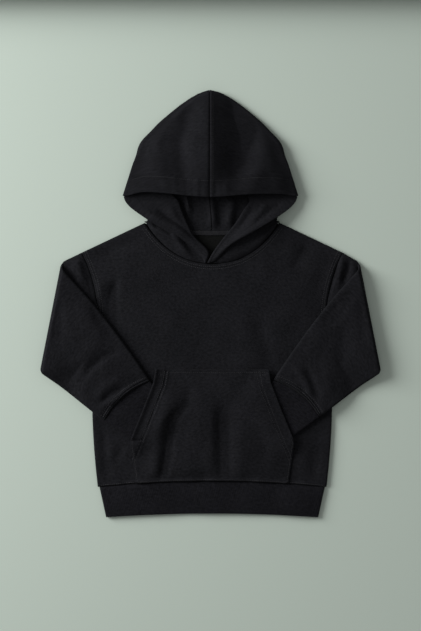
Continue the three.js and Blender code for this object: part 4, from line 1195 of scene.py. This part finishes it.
def hood_top(side, y, face, out, radius):
    """The top layer of one row, from the outline to the seam."""
    start = np.array(face) - np.array(out) * radius
    end = np.array([HOOD_SEAM_X + 0.15 * side, y])
    place = blend2(start, end, np.linspace(0, 1, TOP_COUNT))
    s = np.abs(place[:, 0]) / abs(start[0])
    z = np.maximum(outline_top(y), top_layer_z(place[:, 0], place[:, 1], s))
    fade = np.clip(1 - (y - RIM_Y) / 40, 0, 1)
    place[:, 1] += fade * (rim_y(s, side) - RIM_Y)
    to_seam = np.abs(place[:, 0] - HOOD_SEAM_X)
    ridge = 0.4 * np.exp(-(((place[:, 0] - HOOD_SEAM_X - 2.6) / 1.8) ** 2))
    below = place[:, 1] - rim_y(s, side)
    hem = 0.35 * smooth((RIM_HEM - below) / 3.0)
    drawn = np.exp(-(((place[:, 0] + 14) / 34) ** 2)) * smooth((RIM_HEM + 6 - below) / 10)
    wave = np.sin(place[:, 0] / 1.55 + 0.4) + 0.7 * np.sin(place[:, 0] / 2.6 + 2.1)
    hem = hem + 0.3 * drawn * wave
    z = z + ridge + seam_dip(to_seam, 1.4, 0.8) + hem
    return with_z(place, z)


def hood_half(name):
    side = -1 if name == "left" else 1
    which = 4 if side < 0 else 5
    lower = []
    for k in np.concatenate([[0, 0.04, 0.1], np.linspace(0.18, 6, 44)]):
        row = curve_at(HOOD_LOWER, [k])[0]
        fold = (side * row[1] + BODY_SHIFT * (1 - smooth((row[2] - 108) / 30)), row[2])
        roll, face, lift = (row[which], row[3]), (side * row[6], row[7]), row[which + 4]
        parts = hood_underneath(side, row[0], fold, roll, face, lift, max(0, 1 - k / 6), False)
        lower.append(np.concatenate(parts))
    ys = np.concatenate([np.arange(144, 280, 2.4), [280.5, 281.8, 283]])
    numbers = np.interp(ys, HOOD_UPPER[:, 0], np.arange(len(HOOD_UPPER)))
    outline = curve_at(HOOD_UPPER[:, 1:2], numbers)[:, 0]
    slope = np.gradient(outline, ys)
    upper = []
    for y, reach, lean in zip(ys, outline, slope):
        face = (side * reach, y)
        top = outline_top(y)
        turn_share = smooth((y - GUSSET_END_Y) / 40)
        length = math.hypot(lean, 1)
        out = blend2((side, 0), (side / length, -lean / length), turn_share)
        depth = np.interp(y, HOOD_UPPER[:5, 0], HOOD_UPPER[:5, 2])
        open_share = smooth((y - 186) / 22)
        if open_share < 1:
            roll = (side * min(depth, reach - 7), y)
            parts = hood_underneath(
                side, y, (side * (reach - SIDE_INSET), y), roll, face, 0, 0, True
            )
            folded = np.concatenate(
                [*parts[1:], half_turn(face, (side, 0), UPPER_Z + 2 * ROLL_RADIUS, top, TURN_COUNT)]
            )
            back = parts[0]
            radius = lerp(ROLL_RADIUS, (top - LOWER_Z) / 2, open_share)
        if open_share > 0:
            radius_full = (top - LOWER_Z) / 2
            round_turn = half_turn(face, out, LOWER_Z, top, FOLD_COUNT, FOLD_COUNT - TURN_COUNT)
            end = np.array(face) - np.array(out) * radius_full
            flat = blend2((seam_x(y) + 0.15 * side, y), end, np.linspace(0, 1, BACK_COUNT))
            plain = with_z(flat, LOWER_Z)
            if open_share < 1:
                folded = lerp(folded, round_turn, open_share)
                back = lerp(back, plain, open_share)
            else:
                folded, back, radius = round_turn, plain, radius_full
        upper.append(np.concatenate([back, folded, hood_top(side, y, face, out, radius)]))
    crown_top = outline_top(CROWN_Y)
    radius = (crown_top - LOWER_Z) / 2
    x = HOOD_SEAM_X + 0.15 * side
    run = np.stack([np.full(BACK_COUNT, x), np.linspace(283.2, CROWN_Y - radius, BACK_COUNT)], -1)
    home = np.stack([np.full(TOP_COUNT, x), np.linspace(CROWN_Y - radius, 283.2, TOP_COUNT)], -1)
    crown = half_turn((x, CROWN_Y), (0, 1), LOWER_Z, crown_top, FOLD_COUNT, FOLD_COUNT - TURN_COUNT)
    upper.append(np.concatenate([with_z(run, LOWER_Z), crown, with_z(home, crown_top + 0.9)]))
    lower, upper = np.array(lower), np.array(upper)
    rim = upper[0, : lower.shape[1]]
    lower[-1] = rim
    pieces = []
    for tag, rows in (("lower", lower), ("upper", upper)):
        seam = np.full(rows.shape[:2], 99.0)
        stitch = seam.copy()
        seam[:, :BACK_COUNT] = np.abs(rows[:, :BACK_COUNT, 0] - seam_x(rows[:, :BACK_COUNT, 1]))
        if tag == "lower":
            neck = neck_distance(rows[..., 0] - BODY_SHIFT, rows[..., 1])
            on_middle = slice(BACK_COUNT + TURN_COUNT, BACK_COUNT + TURN_COUNT + MIDDLE_COUNT)
            seam[:, on_middle] = neck[:, on_middle]
            flap = slice(on_middle.stop + TURN_COUNT, rows.shape[1])
            edge = np.linalg.norm(rows[:, flap] - rows[:, -1:], axis=2)
            stitch[:, flap] = np.minimum(abs(edge - 19), abs(edge - 22.2))
        else:
            top = rows[:, -TOP_COUNT:]
            reach = np.abs(top[:, :1, 0])
            below = top[..., 1] - rim_y(np.abs(top[..., 0]) / reach)
            seam[:, -TOP_COUNT:] = np.abs(top[..., 0] - HOOD_SEAM_X)
            lines = [abs(below - RIM_HEM), abs(below - RIM_HEM + 3.2)]
            if side > 0:
                lines.append(abs(top[..., 0] - HOOD_SEAM_X - 4.4))
            stitch[:, -TOP_COUNT:] = np.minimum.reduce(lines)
        marks = {"stitch": stitch, "seam": seam}
        pieces.append(grid_piece(f"hood_{name}_{tag}", rows, "fleece", marks=marks))
    piece = join(pieces, f"hood_{name}_cloth")
    merge_doubles(piece)
    return piece


def neck_tape():
    z = LOWER_Z + (FLEECE + TAPE) / 2 + 0.3
    share = 74 / NECK_SIDE[0] / 2
    us = np.linspace(0.5 - share, 0.5 + share, 90)
    rows = []
    for off in np.linspace(-5.5, 0.4, 7):
        bulge = 0.35 * math.sin(math.pi * (off + 5.5) / 5.9)
        rows.append(with_z(neck_line(BACK_NECK, us, off), z + bulge))
    return grid_piece("neck_tape_cloth", np.array(rows), "tape")


# The garment

pieces = {
    "back_panel": back_panel(),
    "front_panel": front_panel(),
    "pocket": pocket(),
    "hem_band": hem_band(),
    "sleeve_left": sleeve("left"),
    "sleeve_right": sleeve("right"),
    "cuff_left": cuff("left"),
    "cuff_right": cuff("right"),
    "hood_left": hood_half("left"),
    "hood_right": hood_half("right"),
    "neck_tape": neck_tape(),
}
WALLS = {"rib": RIB - 0.3, "fleece": FLEECE - 0.2, "tape": TAPE}
for piece in pieces.values():
    give_thickness(piece, WALLS[piece["cloth"]], 0.2 if piece["cloth"] == "tape" else 0.45)

# Lines of stitches, seen from above


def beside(path, off):
    """A path moved sideways to its left by off."""
    path = np.asarray(path, float)
    way = np.gradient(path, axis=0)
    way /= np.hypot(way[:, 0], way[:, 1])[:, None]
    return path + np.stack([-way[:, 1], way[:, 0]], -1) * off


def dense(path, step=4.0):
    path = np.asarray(path, float)
    run = np.concatenate([[0], np.cumsum(np.hypot(*np.diff(path, axis=0).T))])
    at = np.linspace(0, run[-1], max(int(run[-1] / step), 2))
    return np.stack([np.interp(at, run, path[:, k]) for k in (0, 1)], -1)


def rightwards(path, side):
    return np.asarray(path, float) * np.array([side, 1]) + np.array([BODY_SHIFT, 0])


body_lines, pocket_lines, quiet_lines = [], [], []
neck = neck_line(FRONT_NECK, np.linspace(0.02, 0.98, 120))
for off in (3.4, 6.6):
    body_lines.append(beside(neck, -off))
    for side in (-1, 1):
        body_lines.append(rightwards(beside(ARMHOLE_LINE, off), side))
for side in (-1, 1):
    opening = dense(OPENING)
    for off in (12.2, 16.2):
        (quiet_lines if side > 0 else pocket_lines).append(rightwards(beside(opening, -off), side))
    bar = [(side * 73, POCKET_TOP_Y - 7.6), (side * 60, POCKET_TOP_Y - 7.6)]
    pocket_lines.append(rightwards(bar, 1))
    pocket_lines.append(rightwards(beside(dense(POCKET_SIDE[3:]), -2.2), side))
top_row_y = POCKET_TOP_Y - 4.2
quiet_lines.append(rightwards([(-75, top_row_y), (75, top_row_y)], 1))
for off in (1.3, 1.9):
    hem_edge = panel_hem(np.linspace(0.012, 0.988, 120)) + np.array([0, off])
    at_pocket = np.abs(hem_edge[:, 0]) < POCKET_SIDE[-1][0] - 1
    pocket_lines.append(rightwards(hem_edge[at_pocket], 1))
    body_lines.append(rightwards(hem_edge[hem_edge[:, 0] < -POCKET_SIDE[-1][0] - 1], 1))
    body_lines.append(rightwards(hem_edge[hem_edge[:, 0] > POCKET_SIDE[-1][0] + 1], 1))

sleeve_lines = {}
for name, side in (("left", -1), ("right", 1)):
    seam = bowed(CUFFS[name][0], CUFFS[name][1], -side * CUFF_SEAM_BOW, np.linspace(0.03, 0.97, 50))
    sleeve_lines[name] = [beside(seam, side * 2.9), beside(seam, side * 6.6)]

hood_lines = {"left": [], "right": []}
for name, side in (("left", -1), ("right", 1)):
    out = np.linspace(0.02, 0.95, 45)
    hood_lines[name].append(np.stack([side * out * 110, rim_y(out, side) + RIM_HEM], -1))
hood_lines["right"].append([(HOOD_SEAM_X + 4.4, y) for y in np.linspace(146, 278, 40)])

stitches = {
    "front_panel": sew("front_panel_stitches", pieces["front_panel"], body_lines, thread),
    "pocket": sew("pocket_stitches", pieces["pocket"], pocket_lines, thread),
    "pocket_top": sew("pocket_top_stitches", pieces["pocket"], quiet_lines, dark_thread),
    "sleeve_left": sew("sleeve_left_stitches", pieces["sleeve_left"], sleeve_lines["left"], thread),
    "sleeve_right": sew("sleeve_right_stitches", pieces["sleeve_right"], sleeve_lines["right"], thread),
    "hood_left": sew("hood_left_stitches", pieces["hood_left"], hood_lines["left"], dark_thread),
    "hood_right": sew("hood_right_stitches", pieces["hood_right"], hood_lines["right"], dark_thread),
}

# Each piece's finish, the size it was cut to (width, length and area) and what it lies on
CUTS = {
    # the back panel's darker colour is painted shade for the shadow inside the neck
    "back_panel": (fleece_inside_painted_shade, "fleece", (0.352, 0.354), 0.107, ["back_panel"]),
    "front_panel": (fleece, "fleece", (0.352, 0.354), 0.103, ["back_panel_cloth"]),
    "pocket": (fleece, "fleece", (0.222, 0.152), 0.029, ["front_panel_cloth"]),
    "hem_band": (rib_knit, "rib", (0.61, 0.046), 0.027, ["hem_band"]),
    "sleeve_left": (fleece, "fleece", (0.286, 0.22), 0.05, ["front_panel_cloth"]),
    "sleeve_right": (fleece, "fleece", (0.286, 0.22), 0.05, ["front_panel_cloth"]),
    "cuff_left": (rib_knit, "rib", (0.16, 0.046), 0.007, ["front_panel_cloth"]),
    "cuff_right": (rib_knit, "rib", (0.16, 0.046), 0.007, ["front_panel_cloth"]),
    "hood_left": (fleece, "fleece", (0.27, 0.25), 0.043, ["back_panel_cloth"]),
    "hood_right": (fleece, "fleece", (0.27, 0.25), 0.043, ["back_panel_cloth"]),
    "neck_tape": (twill, "tape", (0.157, 0.012), 0.00094, ["back_panel_cloth"]),
}
for node, (material, slot, flat, area, rests_on) in CUTS.items():
    dress(pieces[node], node, material)

# Floor, light and camera

bpy.ops.object.select_all(action="DESELECT")
bpy.ops.mesh.primitive_plane_add(size=6, location=(0, 0, -0.0002))
floor = bpy.context.object
floor.name = "floor"
paper = bpy.data.materials.new("floor_paper")
paper.use_nodes = True
paper.node_tree.nodes["Principled BSDF"].inputs["Base Color"].default_value = (0.44, 0.505, 0.448, 1)
paper.node_tree.nodes["Principled BSDF"].inputs["Roughness"].default_value = 0.9
paper.node_tree.nodes["Principled BSDF"].inputs["Specular IOR Level"].default_value = 0.2
floor.data.materials.append(paper)

bpy.ops.object.select_all(action="DESELECT")
bpy.ops.mesh.primitive_cube_add(size=1, location=(0, 0.469, 0.021))
board = bpy.context.object
board.name = "board"
board.scale = (1.4, 0.12, 0.042)
bpy.ops.object.transform_apply(location=True, rotation=True, scale=True)
board_paint = bpy.data.materials.new("board_paint")
board_paint.use_nodes = True
board_paint.node_tree.nodes["Principled BSDF"].inputs["Base Color"].default_value = (0.02, 0.02, 0.02, 1)
board_paint.node_tree.nodes["Principled BSDF"].inputs["Roughness"].default_value = 0.95
board.data.materials.append(board_paint)


def soft_light(name, place, aim, size, power, colour=(1, 1, 1)):
    light = bpy.data.lights.new(name, "AREA")
    light.shape = "DISK"
    light.size = size
    light.energy = power
    light.color = colour
    lamp = bpy.data.objects.new(name, light)
    bpy.context.collection.objects.link(lamp)
    lamp.location = place
    lamp.rotation_euler = (Vector(aim) - Vector(place)).to_track_quat("-Z", "Y").to_euler()
    return lamp


soft_light("window", (-2.05, 0.78, 1.05), (0, 0, 0), 1.5, 92)
world = bpy.data.worlds.new("room")
world.use_nodes = True
world.node_tree.nodes["Background"].inputs[0].default_value = (1, 1, 1, 1)
world.node_tree.nodes["Background"].inputs[1].default_value = 0.34
bpy.context.scene.world = world

FRAME_HEIGHT = 631 * 1.34 * MM
DISTANCE = 2.2
camera_data = bpy.data.cameras.new("camera")
camera_data.sensor_width = 36
camera_data.lens = 36 * DISTANCE / FRAME_HEIGHT
camera = bpy.data.objects.new("camera", camera_data)
camera.location = (0, -0.0161, DISTANCE + 0.006)
bpy.context.collection.objects.link(camera)
bpy.context.scene.camera = camera
bpy.context.scene.view_settings.view_transform = "Standard"
